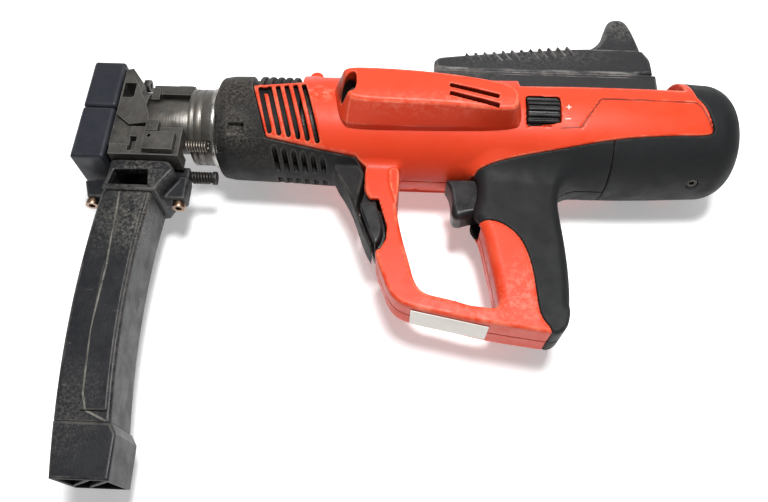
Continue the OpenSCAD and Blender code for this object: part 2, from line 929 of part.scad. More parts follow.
module release_catch() {
    color(black) difference() {
        union() {
            slab(-11.3, 11.3) polygon([[192.5, -49], [195.5, -50], [199.5, -57], [200, -63],
                [202, -71], [191, -71], [189, -66], [191, -60]]);
            slab(-16.3, 16.3) polygon([[189.7, -66.5], [200.6, -66.5], [203, -76],
                [204.3, -86], [202.3, -93], [200, -94.8], [198.7, -91.5], [190.8, -71]]);
        }
        zcyl(catch_pin_x, catch_pin_y, -20, 20, 1.55);
    }
}

// ---------------------------------------------------------------- assembly

casing_left();
casing_right();
front_sleeve();
front_guard();
side_cover();
slide_rail();
rear_cap();
grip_cover_left();
grip_cover_right();
label_plate();
casing_screws();
cap_screw();
front_bearing();
rear_bearing();
return_spring();
breech_block();
firing_spring();
rear_buffer();
cartridge_guide();
wheel_axle();
trigger_pin();
trigger_spring();
catch_pin();
catch_spring();
firing_pin();
sear_bar();
front_tube();
piston_guide();
locking_rings();
buffer_ring();
nose_frame();
nose_plate_upper();
nose_plate_lower();
fastener_guide();
top_bar();
nose_bolts();
latch_housing();
latch_spring();
lock_plunger();
lock_spring();
magazine_head();
magazine_body();
magazine_cover();
magazine_cap();
magazine_screws();
feed_latch();
latch_rivets();
pusher();
pusher_spring();
piston();
piston_rings();
slide_shell();
slide_grip();
slide_pawl();
slide_screws();
power_wheel();
trigger();
release_catch();
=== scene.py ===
"""Powder-actuated nail gun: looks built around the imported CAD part. Lengths are in millimetres
until a mesh is made, and X runs to the rear, Y to the tool's top and Z to its left side."""
import math

import bmesh
import bpy
import numpy as np
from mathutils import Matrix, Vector


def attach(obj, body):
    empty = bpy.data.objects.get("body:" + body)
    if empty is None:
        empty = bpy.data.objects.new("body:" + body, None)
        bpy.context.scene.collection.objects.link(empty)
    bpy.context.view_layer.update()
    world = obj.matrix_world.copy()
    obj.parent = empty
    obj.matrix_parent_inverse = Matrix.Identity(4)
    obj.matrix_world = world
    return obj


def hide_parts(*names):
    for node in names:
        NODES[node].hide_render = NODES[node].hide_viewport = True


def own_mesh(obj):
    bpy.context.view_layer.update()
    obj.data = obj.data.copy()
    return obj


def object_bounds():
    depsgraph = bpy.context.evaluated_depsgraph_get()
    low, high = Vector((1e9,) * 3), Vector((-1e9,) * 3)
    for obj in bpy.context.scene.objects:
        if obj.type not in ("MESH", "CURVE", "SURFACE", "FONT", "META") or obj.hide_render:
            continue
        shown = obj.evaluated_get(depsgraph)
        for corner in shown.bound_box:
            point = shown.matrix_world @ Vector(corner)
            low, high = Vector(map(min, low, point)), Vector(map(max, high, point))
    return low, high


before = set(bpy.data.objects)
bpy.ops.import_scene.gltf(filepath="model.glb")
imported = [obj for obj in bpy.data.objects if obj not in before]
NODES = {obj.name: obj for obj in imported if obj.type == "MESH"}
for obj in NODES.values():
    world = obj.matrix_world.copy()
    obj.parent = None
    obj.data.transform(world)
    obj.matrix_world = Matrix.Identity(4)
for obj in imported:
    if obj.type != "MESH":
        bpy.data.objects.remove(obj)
CAD_LO, CAD_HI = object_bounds()
MM = 0.001
F = np.float32

# Planes of the CAD box that shapes end at
REST_Z = round(CAD_LO.z / MM, 3)
LOW_Y = round(CAD_LO.y / MM, 3)
REAR_X = round(CAD_HI.x / MM, 3)

# Round parts that several pieces make room for: pins as (x, y) and the wheel's place
TRIGGER_PIN = (271, -47)
CATCH_PIN = (197, -56)
WHEEL_X = (296, 317)
WHEEL_Y, WHEEL_Z = -4.3, 30

# -------------------- distance fields


def ri(a, b, r):
    """Intersection of two shapes with a round edge."""
    u, v = np.maximum(a + r, 0), np.maximum(b + r, 0)
    return np.minimum(-r, np.maximum(a, b)) + np.sqrt(u * u + v * v)


def ru(a, b, r):
    """Union of two shapes with a round fillet."""
    u, v = np.maximum(r - a, 0), np.maximum(r - b, 0)
    return np.maximum(r, np.minimum(a, b)) - np.sqrt(u * u + v * v)


def cut(a, b, r=0.6):
    """a without b, with a round edge."""
    return ri(a, -b, r)


def between(x, x0, x1):
    """Slab from x0 to x1."""
    return np.maximum(x0 - x, x - x1)


def box(x, y, z, lo, hi, r=0.8):
    """Box with rounded edges."""
    q = [np.abs(v - (a + b) / 2) - (b - a) / 2 + r for v, a, b in zip((x, y, z), lo, hi)]
    out = np.sqrt(sum(np.maximum(v, 0) ** 2 for v in q))
    inside = np.minimum(np.maximum(np.maximum(q[0], q[1]), q[2]), 0)
    return out + inside - r


def away(u, v, centre=(0, 0)):
    """Distance from an axis through centre."""
    return np.sqrt((u - centre[0]) ** 2 + (v - centre[1]) ** 2)


def ramp(t):
    """Smooth step from 0 to 1."""
    t = np.clip(t, 0, 1)
    return t * t * (3 - 2 * t)


class Outline:
    """Signed distance to closed outlines in a plane, kept on a fine grid."""

    def __init__(self, *loops, pad=16, step=0.5):
        pts = np.concatenate([np.array(p, float) for p in loops])
        lo, hi = pts.min(0) - pad, pts.max(0) + pad
        n = np.ceil((hi - lo) / step).astype(int) + 1
        gx = (lo[0] + step * np.arange(n[0]))[:, None]
        gy = (lo[1] + step * np.arange(n[1]))[None, :]
        d2 = np.full(n, 1e12)
        inside = np.zeros(n, bool)
        for loop in loops:
            loop = np.array(loop, float)
            for a, b in zip(loop, np.roll(loop, -1, 0)):
                e = b - a
                if e @ e < 1e-9:
                    continue
                wx, wy = gx - a[0], gy - a[1]
                t = np.clip((wx * e[0] + wy * e[1]) / (e @ e), 0, 1)
                d2 = np.minimum(d2, (wx - t * e[0]) ** 2 + (wy - t * e[1]) ** 2)
                c1, c2 = gy >= a[1], gy < b[1]
                c3 = e[0] * wy > e[1] * wx
                inside ^= (c1 & c2 & c3) | (~c1 & ~c2 & ~c3)
        self.v = (np.where(inside, -1, 1) * np.sqrt(d2)).astype(F)
        self.lo, self.step, self.n = lo, step, n

    def __call__(self, x, y):
        u = np.clip((x - self.lo[0]) / self.step, 0, self.n[0] - 1.001)
        v = np.clip((y - self.lo[1]) / self.step, 0, self.n[1] - 1.001)
        i, j = u.astype(np.int32), v.astype(np.int32)
        fu, fv = u - i, v - j
        g = self.v
        return ((g[i, j] * (1 - fu) + g[i + 1, j] * fu) * (1 - fv)
                + (g[i, j + 1] * (1 - fu) + g[i + 1, j + 1] * fu) * fv).astype(F)


def soften(pts, times=2, share=0.25):
    """Outline with its corners cut over and over, until they are round."""
    p = np.array(pts, float)
    for _ in range(times):
        q = np.roll(p, -1, 0)
        p = np.stack([p + (q - p) * share, q - (q - p) * share], 1).reshape(-1, 2)
    return p


def slot_pts(a, b, r, n=6):
    """Straight slot with round ends."""
    a, b = np.array(a, float), np.array(b, float)
    turn = math.atan2(*(b - a)[::-1])
    ends = []
    for centre, start in ((b, -math.pi / 2), (a, math.pi / 2)):
        for k in range(n + 1):
            w = turn + start + math.pi * k / n
            ends.append(centre + r * np.array([math.cos(w), math.sin(w)]))
    return np.array(ends)


CORNERS = [(i, j, k) for i in (0, 1) for j in (0, 1) for k in (0, 1)]
CELL_EDGES = [(a, b) for a in range(8) for b in range(a + 1, 8)
              if sum(abs(p - q) for p, q in zip(CORNERS[a], CORNERS[b])) == 1]


def add_object(name, data):
    """Put an object with this data into the scene."""
    o = bpy.data.objects.new(name, data)
    bpy.context.collection.objects.link(o)
    return o


# How far from the surface its bend is measured, and how far out the probe for hollows looks
NEAR, PROBE = 0.4, 2.5


def surface(f, lo, hi, h):
    """Mesh of the surface where f is zero: points, quads, and how proud or sunk each point is."""
    lo, hi = np.array(lo, float), np.array(hi, float)
    n = np.ceil((hi - lo) / h).astype(int) + 1
    ax = [(lo[i] + h * np.arange(n[i])).astype(F) for i in range(3)]
    v = np.broadcast_to(f(ax[0][:, None, None], ax[1][None, :, None], ax[2][None, None, :]),
                        n).astype(F)
    s = v < 0
    count = np.zeros(n - 1, np.int8)
    for i, j, k in CORNERS:
        count += s[i:n[0] - 1 + i, j:n[1] - 1 + j, k:n[2] - 1 + k]
    cells = np.argwhere((count > 0) & (count < 8))
    index = np.full(n - 1, -1, np.int32)
    index[tuple(cells.T)] = np.arange(len(cells))
    corner = np.stack([v[tuple((cells + c).T)] for c in CORNERS], 1)
    pos, num = np.zeros((len(cells), 3)), np.zeros(len(cells))
    for a, b in CELL_EDGES:
        va, vb = corner[:, a], corner[:, b]
        hit = (va < 0) != (vb < 0)
        t = np.where(hit, va / np.where(hit, va - vb, 1), 0)
        pa, pb = np.array(CORNERS[a], float), np.array(CORNERS[b], float)
        pos += np.where(hit[:, None], pa + t[:, None] * (pb - pa), 0)
        num += hit
    pos = lo + h * (cells + pos / num[:, None])
    quads = []
    for axis in range(3):
        u, w = (axis + 1) % 3, (axis + 2) % 3
        a = [slice(None)] * 3
        b = [slice(None)] * 3
        a[axis], b[axis] = slice(0, n[axis] - 1), slice(1, n[axis])
        for t in (u, w):
            a[t] = b[t] = slice(1, n[t] - 1)
        sa, sb = s[tuple(a)], s[tuple(b)]
        for flip in (False, True):
            e = np.argwhere((sa & ~sb) if not flip else (~sa & sb))
            if not len(e):
                continue
            base = e.copy()
            base[:, u] += 1
            base[:, w] += 1
            ring = []
            for du, dw in ((-1, -1), (0, -1), (0, 0), (-1, 0)):
                c = base.copy()
                c[:, u] += du
                c[:, w] += dw
                ring.append(index[tuple(c.T)])
            ring = ring[::-1] if flip else ring
            quads.append(np.stack(ring, 1))
    quads = np.concatenate(quads)
    quads = quads[(quads >= 0).all(1)]

    def at(p):
        return np.asarray(f(*(p.T.astype(F))), float)

    def slope(p, eps):
        return np.stack([at(p + eps * d) - at(p - eps * d) for d in np.eye(3)], 1) / (2 * eps)

    for _ in range(3):
        g = slope(pos, 0.15)
        size = np.maximum((g * g).sum(1), 0.05)
        step = g * (at(pos) / size)[:, None]
        far = np.linalg.norm(step, axis=1)
        pos = pos - step * np.minimum(1, 0.5 * h / np.maximum(far, 1e-6))[:, None]
    around = [at(pos + NEAR * side * d) for d in np.eye(3) for side in (1, -1)]
    g = np.stack([around[0] - around[1], around[2] - around[3], around[4] - around[5]], 1)
    nrm = g / np.maximum(np.linalg.norm(g, axis=1), 1e-6)[:, None]
    proud = np.clip((sum(around) - 6 * at(pos)) / 0.16 * 1.5, 0, 1)
    sunk = np.clip(PROBE - at(pos + PROBE * nrm), 0, PROBE) / PROBE
    return pos, quads, proud, sunk


def piece(name, f, lo, hi, h, body, mat, replaces):
    """A mesh piece from a distance field in a box, on a grid of step h, riding on a body."""
    pos, quads, proud, sunk = surface(f, lo, hi, h)
    me = bpy.data.meshes.new(name)
    me.vertices.add(len(pos))
    me.vertices.foreach_set("co", (pos * MM).astype(F).ravel())
    me.loops.add(quads.size)
    me.loops.foreach_set("vertex_index", quads.astype(np.int32).ravel())
    me.polygons.add(len(quads))
    me.polygons.foreach_set("loop_start", np.arange(len(quads), dtype=np.int32) * 4)
    me.update(calc_edges=True)
    me.validate()
    me.polygons.foreach_set("use_smooth", np.ones(len(me.polygons), bool))
    for key, val in (("proud", proud), ("sunk", sunk)):
        me.attributes.new(key, "FLOAT", "POINT").data.foreach_set("value", val.astype(F))
    finish_piece(add_object(name, me), body, mat, replaces)


def finish_piece(o, body, mat, replaces):
    """Give a piece its material, its body and the CAD nodes that it stands in for."""
    o.data.materials.clear()
    o.data.materials.append(MATS[mat])
    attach(o, body)
    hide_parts(*replaces)


# -------------------- materials

MATS = {}


class Shader:
    """Small helper that builds a node material."""

    def __init__(self, name):
        self.m = bpy.data.materials.new(name)
        self.m.use_nodes = True
        self.t = self.m.node_tree
        self.t.nodes.clear()
        self.out = self.t.nodes.new("ShaderNodeOutputMaterial")
        self.b = self.t.nodes.new("ShaderNodeBsdfPrincipled")
        self.t.links.new(self.b.outputs[0], self.out.inputs[0])
        self.co = self.t.nodes.new("ShaderNodeTexCoord").outputs["Object"]

    def put(self, sock, v):
        """Set a socket to a number or colour, or link it to another socket."""
        if isinstance(v, (int, float, tuple, list)):
            sock.default_value = v if not isinstance(v, (tuple, list)) or len(v) != 3 \
                or len(sock.default_value) == 3 else (*v, 1)
        else:
            self.t.links.new(v, sock)

    def noise(self, scale, detail=4, rough=0.55, stretch=(1, 1, 1), distort=0.0):
        mp = self.t.nodes.new("ShaderNodeMapping")
        mp.inputs["Scale"].default_value = stretch
        self.t.links.new(self.co, mp.inputs[0])
        n = self.t.nodes.new("ShaderNodeTexNoise")
        n.inputs["Scale"].default_value = scale
        n.inputs["Detail"].default_value = detail
        n.inputs["Roughness"].default_value = rough
        n.inputs["Distortion"].default_value = distort
        self.t.links.new(mp.outputs[0], n.inputs["Vector"])
        return n.outputs["Fac"]

    def attr(self, name):
        """A value that surface() stored at each point."""
        n = self.t.nodes.new("ShaderNodeAttribute")
        n.attribute_name = name
        return n.outputs["Fac"]

    def place(self, centre, near, far, squash=(1, 1, 1)):
        """1 at a place on the object and 0 beyond it, in millimetres."""
        v = self.vec("SUBTRACT", self.co, tuple(c * MM for c in centre))
        gap = self.vec("LENGTH", self.vec("MULTIPLY", v, squash))
        return self.span(gap, near * MM, far * MM, 1, 0)

    def axis(self, i):
        """The X, Y or Z coordinate, in metres."""
        n = self.t.nodes.new("ShaderNodeSeparateXYZ")
        self.t.links.new(self.co, n.inputs[0])
        return n.outputs[i]

    def off_axis(self):
        """Distance from the tool axis."""
        return self.vec("LENGTH", self.vec("MULTIPLY", self.co, (0, 1, 1)))

    def bar(self, centre, half):
        """1 inside a small flat bar on the left side, in millimetres, else 0."""
        out = None
        for i in (0, 1):
            gap = self.math("ABSOLUTE", self.math("SUBTRACT", self.axis(i), centre[i] * MM))
            side = self.span(gap, (half[i] - 0.12) * MM, (half[i] + 0.12) * MM, 1, 0)
            out = side if out is None else self.math("MULTIPLY", out, side)
        return self.math("MULTIPLY", out, self.span(self.axis(2), 0.030, 0.031))

    def stroke(self, a, b, half, low=0.025):
        """1 along a thin line from a to b in millimetres, where Z is over low in metres."""
        a, b = Vector((*a, 0)) * MM, Vector((*b, 0)) * MM
        v = self.vec("SUBTRACT", self.vec("MULTIPLY", self.co, (1, 1, 0)), tuple(a))
        along = self.vec("DOT_PRODUCT", v, tuple((b - a) / (b - a).length_squared))
        foot = self.vec("MULTIPLY", self.math("ADD", along, 0.0, True), tuple(b - a))
        gap = self.vec("LENGTH", self.vec("SUBTRACT", v, foot))
        near = self.span(gap, (half - 0.1) * MM, (half + 0.15) * MM, 1, 0)
        return self.math("MULTIPLY", near, self.span(self.axis(2), low, low + 0.001))

    def edge(self, radius):
        """How near a sharp edge is, from a rounded normal."""
        bv = self.t.nodes.new("ShaderNodeBevel")
        bv.samples = 4
        bv.inputs["Radius"].default_value = radius
        geo = self.t.nodes.new("ShaderNodeNewGeometry")
        dot = self.vec("DOT_PRODUCT", bv.outputs[0], geo.outputs["Normal"])
        return self.span(dot, 0.99, 0.80)

    def span(self, v, a, b, lo=0.0, hi=1.0):
        """v moved from the range a to b onto lo to hi, and held there."""
        n = self.t.nodes.new("ShaderNodeMapRange")
        n.inputs["From Min"].default_value = a
        n.inputs["From Max"].default_value = b
        n.inputs["To Min"].default_value = lo
        n.inputs["To Max"].default_value = hi
        self.put(n.inputs["Value"], v)
        return n.outputs[0]

    def vec(self, op, a, b=(0, 0, 0)):
        n = self.t.nodes.new("ShaderNodeVectorMath")
        n.operation = op
        self.put(n.inputs[0], a)
        self.put(n.inputs[1], b)
        return n.outputs["Value" if op in ("DOT_PRODUCT", "LENGTH") else "Vector"]

    def math(self, op, a, b=0.0, clamp=False):
        n = self.t.nodes.new("ShaderNodeMath")
        n.operation = op
        n.use_clamp = clamp
        self.put(n.inputs[0], a)
        self.put(n.inputs[1], b)
        return n.outputs[0]

    def mix(self, fac, a, b):
        """Colour a with b over it by fac."""
        n = self.t.nodes.new("ShaderNodeMix")
        n.data_type = "RGBA"
        self.put(n.inputs[0], fac)
        self.put(n.inputs[6], a)
        self.put(n.inputs[7], b)
        return n.outputs[2]

    def bump(self, height, strength=0.3, distance=0.0005, prev=None):
        n = self.t.nodes.new("ShaderNodeBump")
        n.inputs["Strength"].default_value = strength
        n.inputs["Distance"].default_value = distance
        self.t.links.new(height, n.inputs["Height"])
        if prev is not None:
            self.t.links.new(prev, n.inputs["Normal"])
        return n.outputs[0]

    def done(self, color, rough, normal, metal=0.0, spec=0.5):
        self.put(self.b.inputs["Base Color"], color)
        self.put(self.b.inputs["Roughness"], rough)
        self.b.inputs["Metallic"].default_value = metal
        self.b.inputs["Specular IOR Level"].default_value = spec
        self.t.links.new(normal, self.b.inputs["Normal"])
        return self.m


def plastic(key, base, dark, pale, dust=0.25, dust_color=(0.42, 0.36, 0.30), rough=0.45,
            grain=900, grain_amount=0.15, wear=0.6, spec=0.45, scratch=0.4, cad=False,
            spots=(), extra=None):
    """Moulded plastic: two tones, pale worn edges, dust in hollows, painted shade at the bottom of
    hollows, scratches, fine grain. Spots are places with more dust or scuffs, and extra adds marks
    on top."""
    s = Shader(key)
    tone = s.span(s.noise(14, 5, 0.6), 0.3, 0.7)
    c = s.mix(tone, base, dark)
    fine = s.span(s.noise(260, 4, 0.6), 0.35, 0.75)
    c = s.mix(s.math("MULTIPLY", fine, 0.25), c, dark)
    proud = s.edge(0.0012) if cad else s.span(s.attr("proud"), 0.12, 0.6)
    patch = s.span(s.noise(45, 6, 0.7), 0.42, 0.62)
    worn = s.math("MULTIPLY", s.math("MULTIPLY", proud, patch), wear, True)
    c = s.mix(worn, c, pale)
    lines = s.span(s.noise(60, 3, 0.5, (1, 9, 1), 0.6), 0.66, 0.72)
    lines2 = s.span(s.noise(50, 3, 0.5, (8, 1, 2), 0.8), 0.68, 0.73)
    mask = s.span(s.noise(20, 3, 0.6), 0.5, 0.62)
    lines = s.math("MULTIPLY", s.math("MAXIMUM", lines, lines2), mask)
    c = s.mix(s.math("MULTIPLY", lines, scratch), c, pale)
    dusty = s.math("MULTIPLY", s.span(s.noise(320, 6, 0.75), 0.42, 0.66),
                   s.span(s.noise(22, 4, 0.6), 0.3, 0.7, 0.35, 1))
    if not cad:
        low = s.span(s.attr("sunk"), 0.15, 0.6)
        dusty = s.math("MAXIMUM", dusty, s.math("MULTIPLY", low, 0.7))
    c = s.mix(s.math("MULTIPLY", dusty, dust), c, dust_color)
    # Painted shade: without CAD, points at the bottom of hollows are darkened.
    if not cad:
        deep_shade = s.span(s.attr("sunk"), 0.45, 0.80)
        c = s.mix(s.math("MULTIPLY", deep_shade, 0.85), c, [v * 0.3 for v in dark])
    for centre, near, far, squash, amount, color, fleck in spots:
        here = s.math("MULTIPLY", s.place(centre, near, far, squash),
                      s.span(s.noise(fleck, 6, 0.75), 0.46, 0.62))
        c = s.mix(s.math("MULTIPLY", here, amount), c, color)
    if extra:
        c = extra(s, c)
    r = s.span(s.noise(80, 5, 0.65), 0.3, 0.7, rough - 0.08, rough + 0.14)
    r = s.math("ADD", r, s.math("MULTIPLY", worn, 0.12))
    n = s.bump(s.noise(grain, 3, 0.6), grain_amount, 0.0004)
    n = s.bump(lines, 0.25, 0.0003, n)
    MATS[key] = s.done(c, r, n, 0.0, spec)


def metal(key, base, dark, pale, rough=0.4, ring=False, dust=0.2, metallic=1.0,
          dust_color=(0.23, 0.17, 0.12), bump=0.2):
    """Machined steel: oily brown film, pale edges painted as highlights, and turning lines where it
    is turned.
    """
    s = Shader(key)
    film = s.span(s.noise(38, 7, 0.7), 0.32, 0.68)
    c = s.mix(film, base, dark)
    # Painted highlight: sharp edges are mixed towards the pale colour.
    edge = s.edge(0.0009)
    c = s.mix(s.math("MULTIPLY", edge, 0.8), c, pale)
    spots = s.span(s.noise(120, 6, 0.75), 0.5, 0.72)
    c = s.mix(s.math("MULTIPLY", spots, dust), c, dust_color)
    r = s.span(s.noise(90, 5, 0.7), 0.3, 0.7, rough - 0.1, rough + 0.15)
    n = s.bump(s.noise(420, 4, 0.65), bump, 0.0004)
    if ring:
        n = s.bump(s.noise(900, 2, 0.5, (1, 0.02, 0.02)), 0.25, 0.0003, n)
    MATS[key] = s.done(c, r, n, metallic, 0.5)


def sleeve_shade(s, c):
    """Painted shade: the sleeve's skin under the red vents is darkened, as it lies in the dark."""
    return s.mix(s.math("MULTIPLY", s.span(s.off_axis(), 0.0345, 0.0337),
                        s.span(s.axis(0), 0.1075, 0.110)), c, (0.006, 0.0055, 0.005))


# The magazine's ridge and the outline of the rear panel, in the side view
RIDGE_PTS = ((34.3, -64.8), (37.8, -116.7), (37.2, -159.7), (41.4, -196.9), (44.8, -206.1),
             (56.1, -211))
PANEL_PTS = ((317.5, -17.9), (330.3, -17.4), (344.0, 2.9), (406.5, 3.7), (409.6, 0.2),
             (416.3, -17.8))


def mag_ridge_highlight(s, c):
    """Pale line down the ridge on the magazine's left face: painted highlight, partly real wear."""
    worn_highlight = s.span(s.noise(240, 5, 0.7, (1, 0.4, 1)), 0.36, 0.62, 0.15, 0.85)
    # Painted highlight along the ridge, broken up by noise.
    for a, b in zip(RIDGE_PTS, RIDGE_PTS[1:]):
        line = s.stroke(a, b, 0.55, 0.016)
        c = s.mix(s.math("MULTIPLY", line, worn_highlight), c, (0.20, 0.19, 0.165))
    return c


def red_marks_and_shade(s, c):
    """Painted shade inside the vents and in the mouth, the parting line, a darker brown lip, the
    marks by the wheel, and painted shade along the panel groove.
    """
    # Painted shade: the inner walls behind the vents are darkened.
    deep_shade = s.math("MULTIPLY", s.span(s.off_axis(), 0.0362, 0.0350),
                  s.span(s.axis(0), 0.170, 0.163))
    c = s.mix(deep_shade, c, (0.020, 0.014, 0.011))
    seam = s.span(s.math("ABSOLUTE", s.axis(2)), 0.00018, 0.0004, 1, 0)
    c = s.mix(s.math("MULTIPLY", seam, 0.75), c, (0.10, 0.012, 0.006))
    lip = s.place((174.5, 0, 51), 5.5, 9.5, (1.1, 0.7, 0.8))
    c = s.mix(s.math("MULTIPLY", lip, 0.6), c, (0.16, 0.040, 0.022))
    # Painted shade: the inside of the mouth is painted near black.
    mouth = s.place((180.5, -1, 43), 7.5, 9.5, (1.3, 0.8, 0.9))
    c = s.mix(mouth, c, (0.016, 0.009, 0.007))
    for centre, half in (((322.5, -4.2), (1.7, 0.28)), ((322.5, -4.2), (0.28, 1.7)),
                         ((321.8, -12.2), (1.7, 0.28))):
        c = s.mix(s.bar(centre, half), c, (0.82, 0.66, 0.58))
    # Painted shade along the panel groove.
    for a, b in zip(PANEL_PTS, PANEL_PTS[1:]):
        c = s.mix(s.math("MULTIPLY", s.stroke(a, b, 0.38), 0.85), c, (0.16, 0.016, 0.008))
    return c


plastic("red", (0.68, 0.054, 0.015), (0.60, 0.042, 0.011), (0.80, 0.21, 0.12), dust=0.14,
        dust_color=(0.33, 0.045, 0.022), rough=0.42, wear=0.7, scratch=0.2, spec=0.28,
        grain_amount=0.10, extra=red_marks_and_shade, spots=(
            ((232, -15, 54), 3, 13, (0.18, 1.4, 1), 0.4, (0.78, 0.22, 0.15), 260),
            ((160, 4, 38), 3, 14, (1, 1.6, 1), 0.5, (0.80, 0.34, 0.23), 220),
            ((268, -138, 15), 6, 34, (0.7, 1.2, 1), 0.35, (0.76, 0.24, 0.16), 260),
            ((297, -120, 17), 4, 22, (1, 0.8, 1), 0.4, (0.78, 0.28, 0.20), 260)))
plastic("sleeve", (0.0125, 0.0125, 0.0128), (0.0075, 0.0075, 0.008), (0.11, 0.10, 0.088), dust=0.22,
        dust_color=(0.060, 0.052, 0.043), rough=0.62, wear=0.4, grain=520, grain_amount=0.6,
        spec=0.22, extra=sleeve_shade,
        spots=(((104, 8, 36), 8, 30, (1, 0.8, 1), 0.5, (0.12, 0.10, 0.078), 620),
               ((106, -22, 30), 4, 16, (1, 1, 1), 0.5, (0.17, 0.155, 0.13), 560),
               ((120, -30, 20), 4, 24, (1, 1, 1), 0.3, (0.10, 0.09, 0.075), 520)))
plastic("soft", (0.0115, 0.0122, 0.0130), (0.0075, 0.008, 0.0088), (0.045, 0.045, 0.045), dust=0.08,
        dust_color=(0.05, 0.047, 0.043), rough=0.60, wear=0.3, grain=1100, grain_amount=0.25,
        scratch=0.12, spec=0.22)
plastic("slide", (0.022, 0.0225, 0.0245), (0.0135, 0.014, 0.0155), (0.22, 0.21, 0.195), dust=0.14,
        dust_color=(0.085, 0.08, 0.073), rough=0.46, wear=0.8, grain_amount=0.2, scratch=0.2,
        spec=0.28,
        spots=(((300, 64, 14), 14, 50, (0.6, 2.6, 1), 0.35, (0.16, 0.15, 0.145), 420),
               ((376, 98, 8), 5, 16, (1, 0.9, 1), 0.5, (0.20, 0.19, 0.17), 380),
               ((262, 36, 20), 6, 26, (0.7, 1.6, 1), 0.4, (0.14, 0.125, 0.10), 420),
               ((316, 41, 20), 1.5, 5, (0.35, 2.2, 1), 0.5, (0.18, 0.17, 0.16), 320)))
plastic("mag", (0.0130, 0.0138, 0.0165), (0.0085, 0.009, 0.0115), (0.13, 0.122, 0.11), dust=0.07,
        dust_color=(0.055, 0.052, 0.046), rough=0.40, wear=0.4, scratch=0.3, grain_amount=0.3,
        spec=0.28, extra=mag_ridge_highlight,
        spots=(((48, -84, 19), 5, 26, (1.4, 0.8, 1), 0.65, (0.19, 0.18, 0.15), 620),
               ((30, -84, 19), 3, 20, (1.4, 0.6, 1), 0.4, (0.16, 0.155, 0.13), 520),
               ((45, -52, 20), 5, 24, (1, 1, 1), 0.65, (0.17, 0.16, 0.14), 460),
               ((34, -205, 18), 5, 26, (1, 0.7, 1), 0.35, (0.14, 0.135, 0.12), 560)))
plastic("nose", (0.019, 0.0205, 0.028), (0.0155, 0.017, 0.0235), (0.05, 0.052, 0.06), dust=0.04,
        dust_color=(0.06, 0.056, 0.053), rough=0.42, wear=0.35, grain_amount=0.12, scratch=0.06,
        spec=0.28)
plastic("ctrl", (0.010, 0.010, 0.011), (0.0065, 0.0065, 0.0075), (0.08, 0.08, 0.08), dust=0.05,
        dust_color=(0.06, 0.055, 0.05), rough=0.32, wear=0.4, grain_amount=0.12, scratch=0.08,
        spec=0.35)
plastic("rubber", (0.02, 0.02, 0.02), (0.012, 0.012, 0.012), (0.06, 0.06, 0.06), rough=0.7,
        cad=True)
plastic("label", (0.80, 0.78, 0.73), (0.73, 0.70, 0.64), (0.86, 0.85, 0.82), dust=0.2,
        dust_color=(0.50, 0.43, 0.36), rough=0.5, wear=0.3, cad=True, grain_amount=0.05,
        scratch=0.25)
metal("dark", (0.115, 0.109, 0.101), (0.055, 0.052, 0.048), (0.27, 0.26, 0.24), rough=0.46,
      dust=0.4, metallic=0.75, bump=0.5, dust_color=(0.12, 0.10, 0.08))
metal("barrel", (0.19, 0.18, 0.165), (0.10, 0.094, 0.085), (0.36, 0.345, 0.32), rough=0.38,
      ring=True, dust=0.35, metallic=0.85)
metal("bright", (0.48, 0.465, 0.44), (0.32, 0.305, 0.28), (0.70, 0.69, 0.67), rough=0.28,
      ring=True, dust=0.15)
metal("wire", (0.30, 0.28, 0.25), (0.16, 0.14, 0.12), (0.5, 0.48, 0.45), rough=0.36, dust=0.4)
metal("oxide", (0.040, 0.038, 0.037), (0.022, 0.021, 0.020), (0.16, 0.15, 0.14), rough=0.45,
      dust=0.25, metallic=0.7)
metal("copper", (0.36, 0.235, 0.165), (0.20, 0.125, 0.085), (0.60, 0.47, 0.37), rough=0.34,
      dust=0.35)

# -------------------- casing

# Radius of the round casing along X, smoothed over 19 mm
XS = np.arange(60, 480)
R_CASE = np.interp(XS, [108, 165, 292, 330, 364, 394, 418, 441],
                   [36.6, 38, 39.5, 42, 42, 40.8, 39.3, 38.2])
R_CASE = np.convolve(np.pad(R_CASE, 9, "edge"), np.ones(19) / 19, "valid")

# The flat on top that the slide runs on, and the shoulders beside it, which lean 31.5 degrees
DECK_Y, DECK_HALF = 25.5, 20.8
LEAN = (0.853, 0.522)

HANDLE_OUT = Outline(np.concatenate([
    soften([[180, -26], [187, -38], [192, -47], [192, -57], [197.5, -64], [205, -78],
            [206.5, -88], [204, -95], [200.5, -99], [202, -106], [205.5, -115], [210.5, -127],
            [216, -133], [225, -136.5], [246, -140.5], [272, -145.5], [296, -148.5],
            [307, -150], [313, -149.5], [318, -144], [320.5, -128], [321, -108],
            [320, -87], [318, -69], [317.5, -56], [322, -42], [332, -26]], 2)]))
HANDLE_IN = Outline(soften([
    [214, -18], [213.5, -53], [213, -68], [217, -88], [222, -105], [225.5, -119],
    [231, -126.5], [246, -129.5], [270, -135], [277, -134.5], [276, -122], [272, -100],
    [269, -83], [266, -75.5], [262, -69.5], [266, -56], [266, -44], [262, -37], [250, -32],
    [232, -24]], 2))
SOFT = Outline(np.concatenate([
    soften([[256, -60], [263.4, -39.4], [270.8, -37.1], [281, -34], [298, -30.8],
            [325.6, -27.8], [352.6, -23.4], [386.7, -20], [409, -18.9], [417, -17],
            [415, -9], [412.7, 0], [409.5, 6], [407.3, 10], [407, 60], [470, 60],
            [470, -180], [312, -180], [309, -149], [301.5, -140], [300, -127],
            [299, -112], [296, -97], [291, -86], [283, -78.5], [274, -75], [262, -76]], 2)]))
SLEEVE = Outline([[80, 60], [112, 60], [112, 30], [114.7, 10.4], [125.8, -24.8],
                  [161.5, -30.1], [184.9, -32.7], [192, -38], [190, -60], [80, -60]])
TRIGGER_POCKET = Outline([[240, -39.8], [283, -39.8], [283, -76], [266, -79], [255, -79],
                          [240, -60]])
